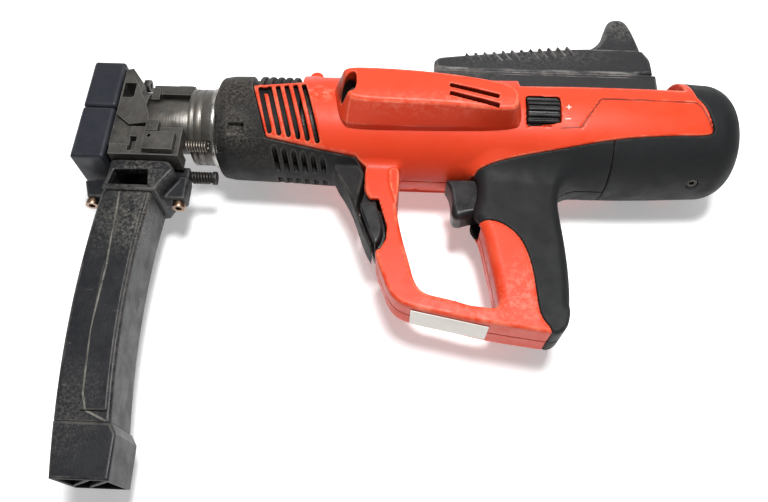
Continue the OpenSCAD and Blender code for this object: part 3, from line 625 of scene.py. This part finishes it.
CATCH_TOP = Outline([[180, -43], [189, -43], [195.5, -47], [202.5, -60], [206, -70],
                     [205, -75], [190, -75], [180, -60]])
CATCH_LOW = Outline([[180, -62], [201.6, -62], [204, -70], [207.7, -82], [207.3, -91],
                     [203.8, -98], [195, -99]])
VENTS = Outline(*[slot_pts([120 + i * 5.7, 8.2 + i * 0.8],
                           [128.3 + i * 6.3, -21.6 - i * 0.9], 1.55) for i in range(6)],
                step=0.25)
VENT_JOIN = Outline([[119, 9], [119, 6.2], [121.5, 4.2], [126.5, 2.2], [127.3, 9.6]])
LEAF = Outline(soften([[207.2, -42], [209, -38.5], [213.6, -39], [214.6, -44], [214.3, -56],
                       [213, -68], [210.8, -61], [208, -51]], 2))


def casing_skin(x, y, z):
    """Outer shape of the casing with its handle, before it is split into pieces."""
    r = away(y, z)
    d = r - np.interp(x, XS, R_CASE).astype(F)
    d = ri(d, x + 0.003 * r * r - (REAR_X - 0.1), 15)
    d = np.maximum(d, 109.5 - x)
    d = cut(d, box(x, y, z, (158, DECK_Y, -70), (402, 90, 70), 1.0), 1.6)
    slope = (y - DECK_Y) * LEAN[0] + (np.abs(z) - DECK_HALF) * LEAN[1]
    d = cut(d, np.maximum(-slope, between(x, 293, 402)), 1.2)
    hand = ri(HANDLE_OUT(x, y), -HANDLE_IN(x, y), 2.0)
    half = 15.5 + 1.5 * ramp((x - 250) / 30)
    sharp = ri(hand, np.abs(z) - half, 2.4)
    grip = ramp((x - 250) / 12) * ramp((y + 137) / 10)
    hand = sharp + (ri(hand, np.abs(z) - half, 7.0) - sharp) * grip
    hand = ru(hand, ri(LEAF(x, y), np.abs(z) - 16.8, 1.2), 0.6)
    d = ru(d, hand, 4 + 8 * ramp((x - 256) / 20))
    foot = box(x, y, z, (168, -22, REST_Z), (400, 11, -20), 2.0)
    return ru(d, foot, 1.5)


# Round rooms about the tool axis: radius and X range. Then square rooms: two corners
BORES = ((28.2, 146, 156), (24.6, 100, 293.5), (14.6, 290, 352), (24, 351, 403), (30, 402.9, 427))
ROOMS = (((286, -142, -5.5), (305, 0, 5.5)), ((284.5, -140, -7), (306.5, -40, 7)),
         ((147.4, 30, -9.2), (158.2, 60, 9.2)), ((264.8, -39.9, 6.4), (285, -29.4, 10.6)),
         ((261, -36, 6.4), (330, -29.4, 10.6)), ((314.5, -36, -4.2), (330, -13, 10.6)))
RAIL_SLOT = ((165, 20, -3.3), (330, 27, 3.3))
SCREWS = ((213, -107), (240, -133.5), (312, -140), (226, -33), (340, -34))


def hollows(x, y, z):
    """Room inside the casing."""
    r = away(y, z)
    az = np.abs(z)
    d = np.maximum(r - 33.5, x - 147)
    for radius, x0, x1 in BORES:
        d = np.minimum(d, np.maximum(r - radius, between(x, x0, x1)))
    w = away(y, z, (WHEEL_Y, WHEEL_Z))
    d = np.minimum(d, ri(w - 13.2, between(x, WHEEL_X[0] - 0.8, WHEEL_X[1] + 0.8), 2.0))
    d = np.minimum(d, np.maximum(w - 2.1, between(x, WHEEL_X[0] - 3, WHEEL_X[1] + 4)))
    d = np.minimum(d, np.maximum(between(x, 107, 147.6), 9.5 + 0.133 * (x - 107) - y))
    d = np.minimum(d, np.maximum(TRIGGER_POCKET(x, y), az - 10.3))
    d = np.minimum(d, np.maximum(CATCH_TOP(x, y), az - 11.8))
    d = np.minimum(d, CATCH_LOW(x, y))
    d = np.minimum(d, np.maximum(CATCH_LOW(x - 3.2, y), az - 9))
    for lo, hi in ROOMS:
        d = np.minimum(d, box(x, y, z, lo, hi, 0.3))
    return np.minimum(d, box(x, y, z, *RAIL_SLOT, 0.2))


def screw_wells(x, y, z):
    """Wells for the casing screws, open to the right side."""
    d = 99
    for place in SCREWS:
        d = np.minimum(d, np.maximum(away(x, y, place) - 3.1, between(z, -60, -10.5)))
    return d


# Where the rear cap starts
CAP_X = 352
PANEL_LINE = Outline(*[slot_pts(a, b, 0.6) for a, b in zip(PANEL_PTS[1:], PANEL_PTS[2:])],
                     step=0.25)


def red_half(side):
    """One moulded casing half; side is 1 on the left and -1 on the right."""
    def f(x, y, z):
        d = casing_skin(x, y, z)
        shell = d
        d = ri(d, -SOFT(x, y) + 0.25, 0.5)
        d = ri(d, -SLEEVE(x, y) + 0.3, 0.9)
        d = np.maximum(d, -hollows(x, y, z))
        vents = np.minimum(VENTS(x, y), np.maximum(VENT_JOIN(x, y), -side))
        floor = np.where(x > 146.8, np.maximum(15 - z * side, -shell - 6.5), 15 - z * side)
        d = cut(d, np.maximum(vents, floor), 0.7)
        if side > 0:
            d = cut(d, np.maximum(PANEL_LINE(x, y), -shell - 0.7), 0.3)
        else:
            d = np.maximum(d, -screw_wells(x, y, z))
        return ri(d, -z * side + 0.06, 0.3)
    return f


def soft_half(side):
    """One half of the soft cover over the grip and the casing's rear."""
    def f(x, y, z):
        d = casing_skin(x, y, z) - 0.25
        d = ri(d, SOFT(x, y) + 0.05, 0.9)
        d = np.maximum(np.maximum(d, -hollows(x, y, z)), REST_Z + 0.05 - z)
        d = ri(d, x - CAP_X + 0.2, 0.6)
        if side < 0:
            d = np.maximum(d, -screw_wells(x, y, z))
        return ri(d, -z * side + 0.06, 0.3)
    return f


def cap_shape(x, y, z):
    """Domed rear cap, with a well for its screw."""
    d = casing_skin(x, y, z) - 0.1
    d = ri(d, SOFT(x, y) + 0.05, 0.9)
    d = ri(d, CAP_X + 0.2 - x, 0.6)
    d = np.maximum(np.maximum(d, -hollows(x, y, z)), REST_Z + 0.05 - z)
    a = math.radians(78)
    ey, ez = -math.sin(a), math.cos(a)
    along = y * ey + z * ez
    across = np.sqrt((x - 409) ** 2 + (y * ez - z * ey) ** 2)
    return cut(d, np.maximum(across - 3.8, 36.0 - along), 0.5)


for side, tag in ((1, "left"), (-1, "right")):
    zr = (-0.9, 45) if side > 0 else (-45, 0.9)
    piece("red_casing_" + tag, red_half(side), (106, -152, zr[0]), (420, 45, zr[1]), 1.0,
          "casing", "red", ("casing_" + tag,))
    piece("grip_soft_" + tag, soft_half(side), (252, -152, zr[0]), (353.5, -15, zr[1]), 1.0,
          "casing", "soft", ("grip_cover_" + tag,))
piece("rear_dome", cap_shape, (350, -46, -46), (443, 46, 46), 1.0, "casing", "soft",
      ("rear_cap",))

# -------------------- front sleeve

# Axis of the latch spring, which runs into the sleeve when the nose is pressed in
LATCH_Y, LATCH_Z = -26.5, 15.5
SLEEVE_TAIL = Outline(soften([
    [168, -30], [171, -40], [180, -54], [185.5, -66], [193, -88], [199, -98.5],
    [200.8, -97], [197, -92], [189.5, -72], [187.4, -67], [188.2, -60], [190, -50],
    [191.1, -42], [189.2, -37.4], [184, -33.4], [176, -31]], 1))
SLEEVE_SLOTS = Outline(*[slot_pts([131 + i * 6.4, -30.2 - i * 0.9],
                                  [132.6 + i * 6.2, -36.2], 1.5) for i in range(6)])


def sleeve_shape(x, y, z):
    """Black sleeve with its slots, ribs and the web down the front of the handle."""
    r = away(y, z)
    az = np.abs(z)
    d = r - np.interp(x, [91, 99, 140, 165, 196], [34.6, 36, 37, 38, 38.3]).astype(F)
    d = ri(d, 91 - x, 2.2)
    d = ri(d, SLEEVE(x, y) + 0.2, 0.8)
    d = ri(d, x - 196, 1)
    tail = ri(SLEEVE_TAIL(x, y), az - 13, 1.6)
    d = ru(d, tail, 1.5)
    d = np.minimum(d, np.maximum(r - 33.4, between(x, 94, 146.9)))
    for i in range(5):
        rib = ri(between(x, 118 + i * 5.6, 121 + i * 5.6), r - 36.4, 0.9)
        d = ru(d, ri(rib, 10.7 + 0.1325 * (x - 110) - y, 0.6), 0.6)
    d = np.maximum(d, 29 - r)
    d = cut(d, np.maximum(SLEEVE_SLOTS(x, y), between(az, 4, 34)), 0.6)
    d = cut(d, box(x, y, z, (100.6, -26.0, 27.2), (111, -17.2, 40), 0.4), 0.4)
    d = cut(d, box(x, y, z, (103, 12, 32), (109.5, 17.5, 40), 0.4), 0.5)
    latch_room = np.maximum(away(y, z, (LATCH_Y, LATCH_Z)) - 4.2, between(x, 85, 113))
    return np.maximum(d, -latch_room)


piece("slotted_sleeve", sleeve_shape, (89, -101, -40), (198, 40, 40), 0.7, "casing", "sleeve",
      ("front_sleeve", "front_guard"))

# -------------------- raised side cover

BULGE_LOW = Outline(soften([[169.5, 7], [171.5, -3], [173.5, -12], [176.5, -17.5],
                            [181, -20.5], [227, -20.5], [288, -19.5], [292.5, -14],
                            [292, 2], [270, 10], [228, 17], [185, 19], [173, 14]], 2))
BULGE_TOP = Outline(soften([[176, 6], [179.5, -9], [184, -14.5], [226, -15], [252, -15.8],
                            [283, -18.8], [288, -14], [287.5, -2], [270, 4.5], [228, 10.5],
                            [190, 12], [178, 11]], 2))
MOUTH = Outline(soften([[174.8, -10.5], [176.4, -2], [180.3, 6.5], [183.6, 8], [185.3, 4],
                        [185.3, -7], [181, -8.6]], 2))


def bulge_shape(x, y, z):
    """Raised cover: its outline narrows from the casing to the top, with a mouth and 2 slots."""
    r = away(y, z)
    t = np.clip((z - 38) / 18, 0, 1)
    d = BULGE_LOW(x, y) * (1 - t) + BULGE_TOP(x, y) * t
    top = 57 - 0.006 * (y + 3) ** 2
    d = ri(d, z - top, 2.0)
    d = np.maximum(d, np.interp(x, XS, R_CASE).astype(F) - 0.3 - r)
    d = np.maximum(d, 28 - z)
    d = cut(d, np.maximum(MOUTH(x, y), 40 - z), 0.8)
    for i in range(2):
        a = math.radians(-14.4)
        u = (x - 244) * math.cos(a) + (y + 2.6 + 6.3 * i) * math.sin(a)
        v = -(x - 244) * math.sin(a) + (y + 2.6 + 6.3 * i) * math.cos(a)
        d = cut(d, box(u, v, z, (0, -0.4, 44), (32, 2.7, 70), 0.3), 0.3)
    return d


piece("raised_cover", bulge_shape, (166, -24, 27), (296, 23, 59), 0.7, "casing", "red",
      ("side_cover",))

# -------------------- cocking slide

GRIP_SIDE = Outline(soften([[238, 45.1], [236.5, 53.5], [240, 57.4], [252, 59.4],
                            [296, 65.4], [343, 70.4], [387, 70.4], [391.8, 61],
                            [391.8, 45.1]], 1, 0.12))
FIN_SIDE = Outline(soften([[336, 58], [343, 73], [351, 76.5], [358, 81.5], [363, 90],
                           [367, 103], [371, 107.3], [380, 107.3], [384.5, 100],
                           [389.5, 78], [391.6, 62], [390, 50], [340, 50]], 2))
SHELL_SIDE = Outline(soften([[238, 26], [389, 26], [392, 28.5], [392, 44.3],
                             [238, 44.3], [237.2, 36]], 1, 0.12))


GRIP_SCREWS = ((262, 14), (372, 14))


def grip_shape(x, y, z):
    """Top of the slide, with its fin and ribs."""
    az = np.abs(z)
    lean = np.maximum(y - 52, 0) * 0.09
    d = ri(GRIP_SIDE(x, y), az - 16.4 + lean, 2.5)
    fin = ri(FIN_SIDE(x, y), az - 8 + (y - 75) * 0.02, 4.0)
    d = ru(d, fin, 4.0)
    for i in range(12):
        cx = 261 + i * 6.6
        cy = 58.9 + i * 0.82
        rib = box(x - cx + (y - cy) * 0.7, y - cy, z, (-0.8, -6, -16.5), (0.8, 2.1, 16.5), 0.6)
        d = ru(d, rib, 0.5)
    for place in GRIP_SCREWS:
        d = np.maximum(d, -np.maximum(away(x, z, place) - 1.6, y - 52))
    return np.maximum(d, -box(x, y, z, (246, 40, -2.6), (300, 52, 2.6), 0.2))


def shell_shape(x, y, z):
    """Skirt of the slide, open below."""
    d = ri(SHELL_SIDE(x, y), np.abs(z) - 20, 1.8)
    d = np.maximum(d, -box(x, y, z, (200, 0, -9.4), (420, 39, 9.4), 0.3))
    d = np.maximum(d, -box(x, y, z, (246, 38, -2.6), (300, 50, 2.6), 0.2))
    for place in GRIP_SCREWS:
        d = np.maximum(d, 1.6 - away(x, z, place))
    groove = np.maximum(np.abs(y - 40.5) - 0.5, 19.3 - np.abs(z))
    return cut(d, groove, 0.3)


piece("slide_top", grip_shape, (234, 43, -19), (397, 110, 19), 0.8, "slide", "slide",
      ("slide_grip",))
piece("slide_skirt", shell_shape, (235, 24, -22), (397, 47, 22), 0.8, "slide", "slide",
      ("slide_shell",))

# -------------------- nose plates


def plate_shape(y0, y1):
    """Nose plate from y0 to y1: a tray open to the rear, with room for the muzzle insert."""
    def f(x, y, z):
        d = between(z, -28, 28)
        d = ri(d, between(y, y0, y1), 2.5)
        d = ri(d, between(x, 0, 22.5), 2.0)
        lo = y0 + 4.5 if y0 < -30 else y0 - 5
        hi = y1 - 4.5 if y1 > 20 else y1 + 5
        d = np.maximum(d, -box(x, y, z, (5, lo, -23.5), (30, hi, 23.5), 1.0))
        d = np.maximum(d, -np.maximum(away(y, z) - 9.5, x - 30))
        chamfer = (28 - np.abs(z) + x) / math.sqrt(2) - 1.6
        return ri(d, -chamfer, 0.8)
    return f


piece("nose_upper", plate_shape(-4.2, 33.5), (-1, -6, -29.5), (24, 35, 29.5), 0.8, "barrel",
      "nose", ("nose_plate_upper",))
piece("nose_lower", plate_shape(-45, -5), (-1, -46.5, -29.5), (24, -3.5, 29.5), 0.8, "barrel",
      "nose", ("nose_plate_lower",))

# -------------------- magazine

# The magazine's curve: its centre, its front radius and its depth; where its tube ends
CX, CY, RA, DEPTH = 708.5, -117.5, 688, 32
TUBE_TOP, TUBE_END = -64, -212


def arc(x, y):
    return away(x, y, (CX, CY))


def mag_tube(x, y, z):
    """Curved box, open at both ends."""
    q = arc(x, y)
    d = ri(between(q, RA - DEPTH, RA), np.abs(z) - 18, 2.2)
    d = ri(d, between(y, TUBE_END, TUBE_TOP), 0.5)
    q2 = between(q, RA - DEPTH + 2.5, RA - 2.5)
    return np.maximum(d, -ri(q2, np.abs(z) - 15.5, 0.8))


def mag_panel(x, y, z):
    """Flat cover on the magazine's left face."""
    q = arc(x, y)
    d = ri(between(q, RA - DEPTH + 1.6, RA - 15), between(y, -206, -66), 1.5)
    return ri(d, between(z, 18.05, 20), 0.9)


FLARE = Outline([[60, TUBE_END], [64, -218], [65, LOW_Y], [58, LOW_Y], [56, TUBE_END]])
FLARE_IN = Outline([[56, -216], [62, -220], [63, -247], [56, -247]])


def mag_end(x, y, z):
    """Foot of the magazine, with its flare to the rear and two slanted ribs inside."""
    q = arc(x, y)
    out = np.minimum(np.maximum(between(q, RA - DEPTH, RA - 0.5), between(y, LOW_Y, TUBE_END)),
                     np.maximum(FLARE(x, y), LOW_Y - y))
    d = ri(out, between(z, -19, 19), 1.6)
    inn = np.minimum(np.maximum(between(q, RA - DEPTH + 2, RA - 2), between(y, -250, -211)),
                     FLARE_IN(x, y))
    d = cut(d, np.maximum(inn, between(z, -16.5, 17)), 0.5)
    a = math.radians(35)
    for rx in (43, 54):
        u = (x - rx) * math.cos(a) - z * math.sin(a)
        rib = np.maximum(np.abs(u) - 0.9, between(y, -242.5, -229))
        d = np.minimum(d, np.maximum(rib, np.maximum(inn - 0.5, between(z, -17, 17.5))))
    return d


# The head's two screws along X, and the height of the plunger's axis
FRONT_SCREW_X, REAR_SCREW_X = 10, 68
PLUNGER_Y = -41.5
HEAD_SIDE = Outline(soften([[24.5, -41.1], [62, -41.1], [67, -47], [60, -58], [57, -64],
                            [22.5, -64], [24.5, -52]], 1, 0.1))
HEAD_WINDOW = Outline([[28, -49], [50, -48], [52, -60], [26, -60]])
HEAD_FRONT = Outline([[4, -50], [24, -45.2], [24, -62], [8, -62]])


def mag_top(x, y, z):
    """Head of the magazine, with the loading window and lugs for its two screws."""
    q = arc(x, y)
    az = np.abs(z)
    d = ri(HEAD_SIDE(x, y), az - 20, 1.6)
    d = ru(d, box(x, y, z, (56, -62, -6), (73, -44, 6), 2.0), 1.5)
    d = ru(d, ri(HEAD_FRONT(x, y), az - 6, 1.2), 1.0)
    d = ru(d, box(x, y, z, (60, -45, -5), (72.5, -36.5, 5), 1.0), 0.8)
    inn = np.maximum(between(q, RA - DEPTH + 3, RA - 3), between(y, -70, -30))
    d = np.maximum(d, -np.maximum(inn, az - 13.5))
    d = cut(d, np.maximum(HEAD_WINDOW(x, y), 12 - z), 0.5)
    for screw_x, top in ((REAR_SCREW_X, -42), (FRONT_SCREW_X, -48)):
        d = np.maximum(d, -np.maximum(away(x, z, (screw_x, 0)) - 2.5, y - top))
    return np.maximum(d, -np.maximum(away(y, z, (PLUNGER_Y, 0)) - 1.7, between(x, 58, 80)))


piece("magazine_tube", mag_tube, (18, -213.5, -19.5), (62, -62.5, 19.5), 0.8, "barrel", "mag",
      ("magazine_body",))
piece("magazine_panel", mag_panel, (18, -208, 17), (62, -64, 21), 0.5, "barrel", "mag",
      ("magazine_cover",))
piece("magazine_foot", mag_end, (25, -245, -21), (69, -210, 21), 0.6, "barrel", "mag",
      ("magazine_cap",))
piece("magazine_neck", mag_top, (2, -66, -22), (76, -34, 22), 0.6, "barrel", "mag",
      ("magazine_head",))

# -------------------- trigger and catch

TRIGGER = Outline(soften([[245.2, -42.4], [250, -41.6], [272, -41.6], [276, -45],
                          [276, -65], [266, -67], [259.5, -68.8], [254.5, -70.8],
                          [250.8, -69.8], [249, -66], [249.7, -60], [249.4, -53],
                          [248, -47.5]], 1, 0.2))
CATCH_A = Outline(soften([[192.5, -49], [195.5, -50], [199.5, -57], [200, -63],
                          [202, -72], [191, -72], [189, -66], [191, -60]], 1, 0.2))
CATCH_B = Outline(soften([[189.2, -65], [199.6, -65], [203.4, -76], [205, -84],
                          [203.8, -91], [200.6, -95.4], [198.8, -92.5], [190.2, -71]], 1, 0.2))


def trigger_shape(x, y, z):
    """Trigger with the arm that reaches the sear bar."""
    d = ri(TRIGGER(x, y), np.abs(z) - 9.5, 2.2 + 2.6 * ramp((-58 - y) / 10))
    d = np.minimum(d, box(x, y, z, (269, -43, 7.6), (274, -31, 9.3), 0.3))
    return np.maximum(d, 2.05 - away(x, y, TRIGGER_PIN))


def catch_shape(x, y, z):
    """Release catch: its neck, its pad, and a flange behind the pad with room for the spring."""
    az = np.abs(z)
    d = ri(CATCH_A(x, y), az - 11.3, 1.0)
    d = np.minimum(d, ri(CATCH_B(x, y), az - 16.3, 1.8))
    flange = ri(CATCH_B(x - 2.4, y), az - 7.8, 0.8)
    room = box(x, y, z, (203.6, -89, -4), (215, -79, 4), 0.3)
    d = np.minimum(d, np.maximum(flange, -room))
    return np.maximum(d, 1.55 - away(x, y, CATCH_PIN))


piece("trigger_lever", trigger_shape, (244, -75, -11), (278, -29, 11), 0.6, "trigger", "ctrl",
      ("trigger",))
piece("catch_lever", catch_shape, (187, -97, -18), (209, -47, 18), 0.6, "catch", "ctrl",
      ("release_catch",))

# -------------------- power wheel


def wheel_shape(x, y, z):
    """Power wheel with 18 rounded teeth."""
    q = away(y, z, (WHEEL_Y, WHEEL_Z))
    a = np.arctan2(z - WHEEL_Z, y - WHEEL_Y)
    tooth = np.clip(np.cos(a * 18) * 2.2, -1, 0.9)
    d = (q - 11.75 - 0.85 * tooth) * 0.75
    d = ri(d, between(x, *WHEEL_X), 1.2)
    return np.maximum(d, 2.05 - q)


piece("knurled_wheel", wheel_shape, (294.5, -19, 15), (318.5, 11, 45), 0.4, "wheel", "ctrl",
      ("power_wheel",))

# -------------------- springs


def from_rings(name, rings, body, mat, node, smooth):
    """A piece from a row of closed rings of points, with flat ends."""
    bm = bmesh.new()
    rows = [[bm.verts.new(p) for p in ring] for ring in rings]
    for r0, r1 in zip(rows, rows[1:]):
        for j in range(len(r0)):
            k = (j + 1) % len(r0)
            bm.faces.new((r0[j], r0[k], r1[k], r1[j]))
    bm.faces.new(rows[0][::-1])
    bm.faces.new(rows[-1])
    bmesh.ops.recalc_face_normals(bm, faces=bm.faces)
    me = bpy.data.meshes.new(name)
    bm.to_mesh(me)
    bm.free()
    for p in me.polygons:
        p.use_smooth = smooth
    o = add_object(name, me)
    finish_piece(o, body, mat, (node,))
    return o


def spring(name, x0, x1, coil_r, wire_r, turns, y, z, body, mat, node, joint=None):
    """Round wire wound as a real helix along X; with a joint it gets a mesh of its own."""
    sides, steps = 10, int(turns * 28)
    pts = []
    for i in range(steps + 1):
        t = i / steps
        a = 2 * math.pi * turns * t
        s = x0 + wire_r + (x1 - x0 - 2 * wire_r) * t
        pts.append(Vector((s, y + coil_r * math.cos(a), z + coil_r * math.sin(a))))
    rings = []
    for i, p in enumerate(pts):
        tan = (pts[min(i + 1, steps)] - pts[max(i - 1, 0)]).normalized()
        n = tan.orthogonal().normalized() if i == 0 else (last - tan * last.dot(tan)).normalized()
        last = n
        b = tan.cross(n)
        around = [2 * math.pi * j / sides for j in range(sides)]
        rings.append([(p + (n * math.cos(w) + b * math.sin(w)) * wire_r) * MM for w in around])
    o = from_rings(name, rings, body, mat, node, True)
    if joint:
        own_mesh(o)


spring("coil_return", 97.2, 147.9, 26, 1.2, 8, 0, 0, "casing", "wire", "return_spring",
       "barrel_press")
spring("coil_firing", 340.2, 364.8, 5, 0.8, 9, 0, 0, "casing", "wire", "firing_spring")
spring("coil_trigger", 276.2, 282.8, 3, 0.6, 4, -60, 0, "casing", "wire", "trigger_spring",
       "trigger_pull")
spring("coil_catch", 204.4, 209, 2.6, 0.5, 3, -84, 0, "casing", "oxide", "catch_spring",
       "catch_press")
spring("coil_latch", 70.2, 85.8, 3, 0.75, 8, LATCH_Y, LATCH_Z, "barrel", "wire",
       "latch_spring")
spring("coil_lock", 73, 87.6, 3.4, 0.9, 6.5, PLUNGER_Y, 0, "barrel", "oxide", "lock_spring",
       "plunger_press")


def ribbon(name, path, thick, half, body, mat, node):
    """Flat spring strip along a path in the side view, with its edges square."""
    p = np.array(path, float)
    tan = np.gradient(p, axis=0)
    tan /= np.linalg.norm(tan, axis=1)[:, None]
    out = np.stack([-tan[:, 1], tan[:, 0]], 1) * thick / 2
    rings = [[(q[0] * MM, q[1] * MM, z * MM)
              for q, z in ((a + o, half), (a - o, half), (a - o, -half), (a + o, -half))]
             for a, o in zip(p, out)]
    return from_rings(name, rings, body, mat, node, False)


# The follower's strip spring: a roll on its spindle, and the band that runs up the magazine
ROLL_X, ROLL_Y = 45.5, -192
BAND_TOP, BAND_END = -98.4, -183.4
BAND_R = RA - DEPTH + 5.3
turns = np.linspace(0, 2 * math.pi * 7, 420)
coil = 3.6 + 4.1 * turns / turns[-1]
ribbon("strip_roll", np.stack([ROLL_X + coil * np.cos(turns), ROLL_Y + coil * np.sin(turns)], 1),
       0.3, 9.8, "barrel", "wire", "pusher_spring")
ys = np.linspace(BAND_TOP, BAND_END, 60)
band = np.stack([CX - np.sqrt(BAND_R ** 2 - (ys - CY) ** 2), ys], 1)
strip = ribbon("strip_band", band, 0.5, 5, "barrel", "wire", "pusher_spring")
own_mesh(strip)

# -------------------- carried-over CAD nodes

# CAD nodes that stay as they are, by material, with the width of their bevel
KEEP = {
    "red": (["slide_rail"], 0.5),
    "label": (["label_plate"], 0.1),
    "dark": (["nose_frame", "latch_housing", "feed_latch", "latch_rivets", "top_bar"], 0.45),
    "barrel": (["front_tube", "piston_guide", "fastener_guide", "breech_block", "sear_bar",
                "piston_rings", "slide_pawl"], 0.3),
    "bright": (["locking_rings", "front_bearing", "rear_bearing", "cartridge_guide",
                "wheel_axle", "trigger_pin", "catch_pin", "firing_pin", "pusher", "piston"],
               0.15),
    "oxide": (["casing_screws", "cap_screw", "nose_bolts", "slide_screws", "lock_plunger"],
              0.15),
    "rubber": (["rear_buffer", "buffer_ring"], 0.3),
    "copper": (["magazine_screws"], 0.2),
}
for key, (names, width) in KEEP.items():
    for n in names:
        o = NODES[n]
        o.data.materials.clear()
        o.data.materials.append(MATS[key])
        weld = o.modifiers.new("weld", "WELD")
        weld.merge_threshold = 0.00001
        bevel = o.modifiers.new("edge", "BEVEL")
        bevel.width = width * MM
        bevel.segments = 2
        bevel.limit_method = "ANGLE"
        bevel.angle_limit = math.radians(35)
        bevel.use_clamp_overlap = True

# -------------------- camera, light and floor

# A pale floor that curves up behind the tool, a little under its rest face
bm = bmesh.new()
bmesh.ops.create_grid(bm, x_segments=40, y_segments=40, size=2.2)
for v in bm.verts:
    far = max(0.0, v.co.y - 0.75)
    v.co.z = far * far * 0.6
me = bpy.data.meshes.new("floor")
bm.to_mesh(me)
bm.free()
floor = add_object("floor", me)
floor.location = (0.2, -0.1, CAD_LO.z - 0.0004)
s = Shader("floor")
c = s.mix(s.span(s.noise(2.5, 4, 0.6), 0.3, 0.7), (0.93, 0.935, 0.94), (0.90, 0.905, 0.915))
s.put(s.b.inputs["Emission Color"], (1, 1, 1))
s.b.inputs["Emission Strength"].default_value = 0.32
me.materials.append(s.done(c, 0.75, s.bump(s.noise(300, 3), 0.03, 0.0004), 0.0, 0.2))


def area(name, loc, target, size, power):
    """Rectangular light at loc that shines on target."""
    light = bpy.data.lights.new(name, "AREA")
    light.shape = "RECTANGLE"
    light.size, light.size_y = size
    light.energy = power
    o = add_object(name, light)
    o.location = loc
    o.rotation_mode = "QUATERNION"
    o.rotation_quaternion = (Vector(target) - Vector(loc)).to_track_quat("-Z", "Y")


area("key", (0.27, -0.02, 0.95), (0.25, -0.06, 0), (0.22, 0.22), 13.0)
area("back", (0.25, 0.85, 0.75), (0.22, 0.0, 0), (1.2, 0.5), 1.6)
world = bpy.data.worlds.new("studio")
bpy.context.scene.world = world
world.use_nodes = True
world.node_tree.nodes["Background"].inputs[0].default_value = (1, 1, 1, 1)
world.node_tree.nodes["Background"].inputs[1].default_value = 0.20

cam = bpy.data.cameras.new("camera")
cam.lens, cam.sensor_width = 32.81, 36
cam.clip_start, cam.clip_end = 0.01, 20
camera = add_object("camera", cam)
camera.location = (0.21382, -0.29054, 0.40715)
camera.rotation_mode = "QUATERNION"
camera.rotation_quaternion = (Vector((0.2062, -0.0921, 0)) - camera.location).to_track_quat(
    "-Z", "Y")
bpy.context.scene.camera = camera
bpy.context.scene.view_settings.view_transform = "Standard"
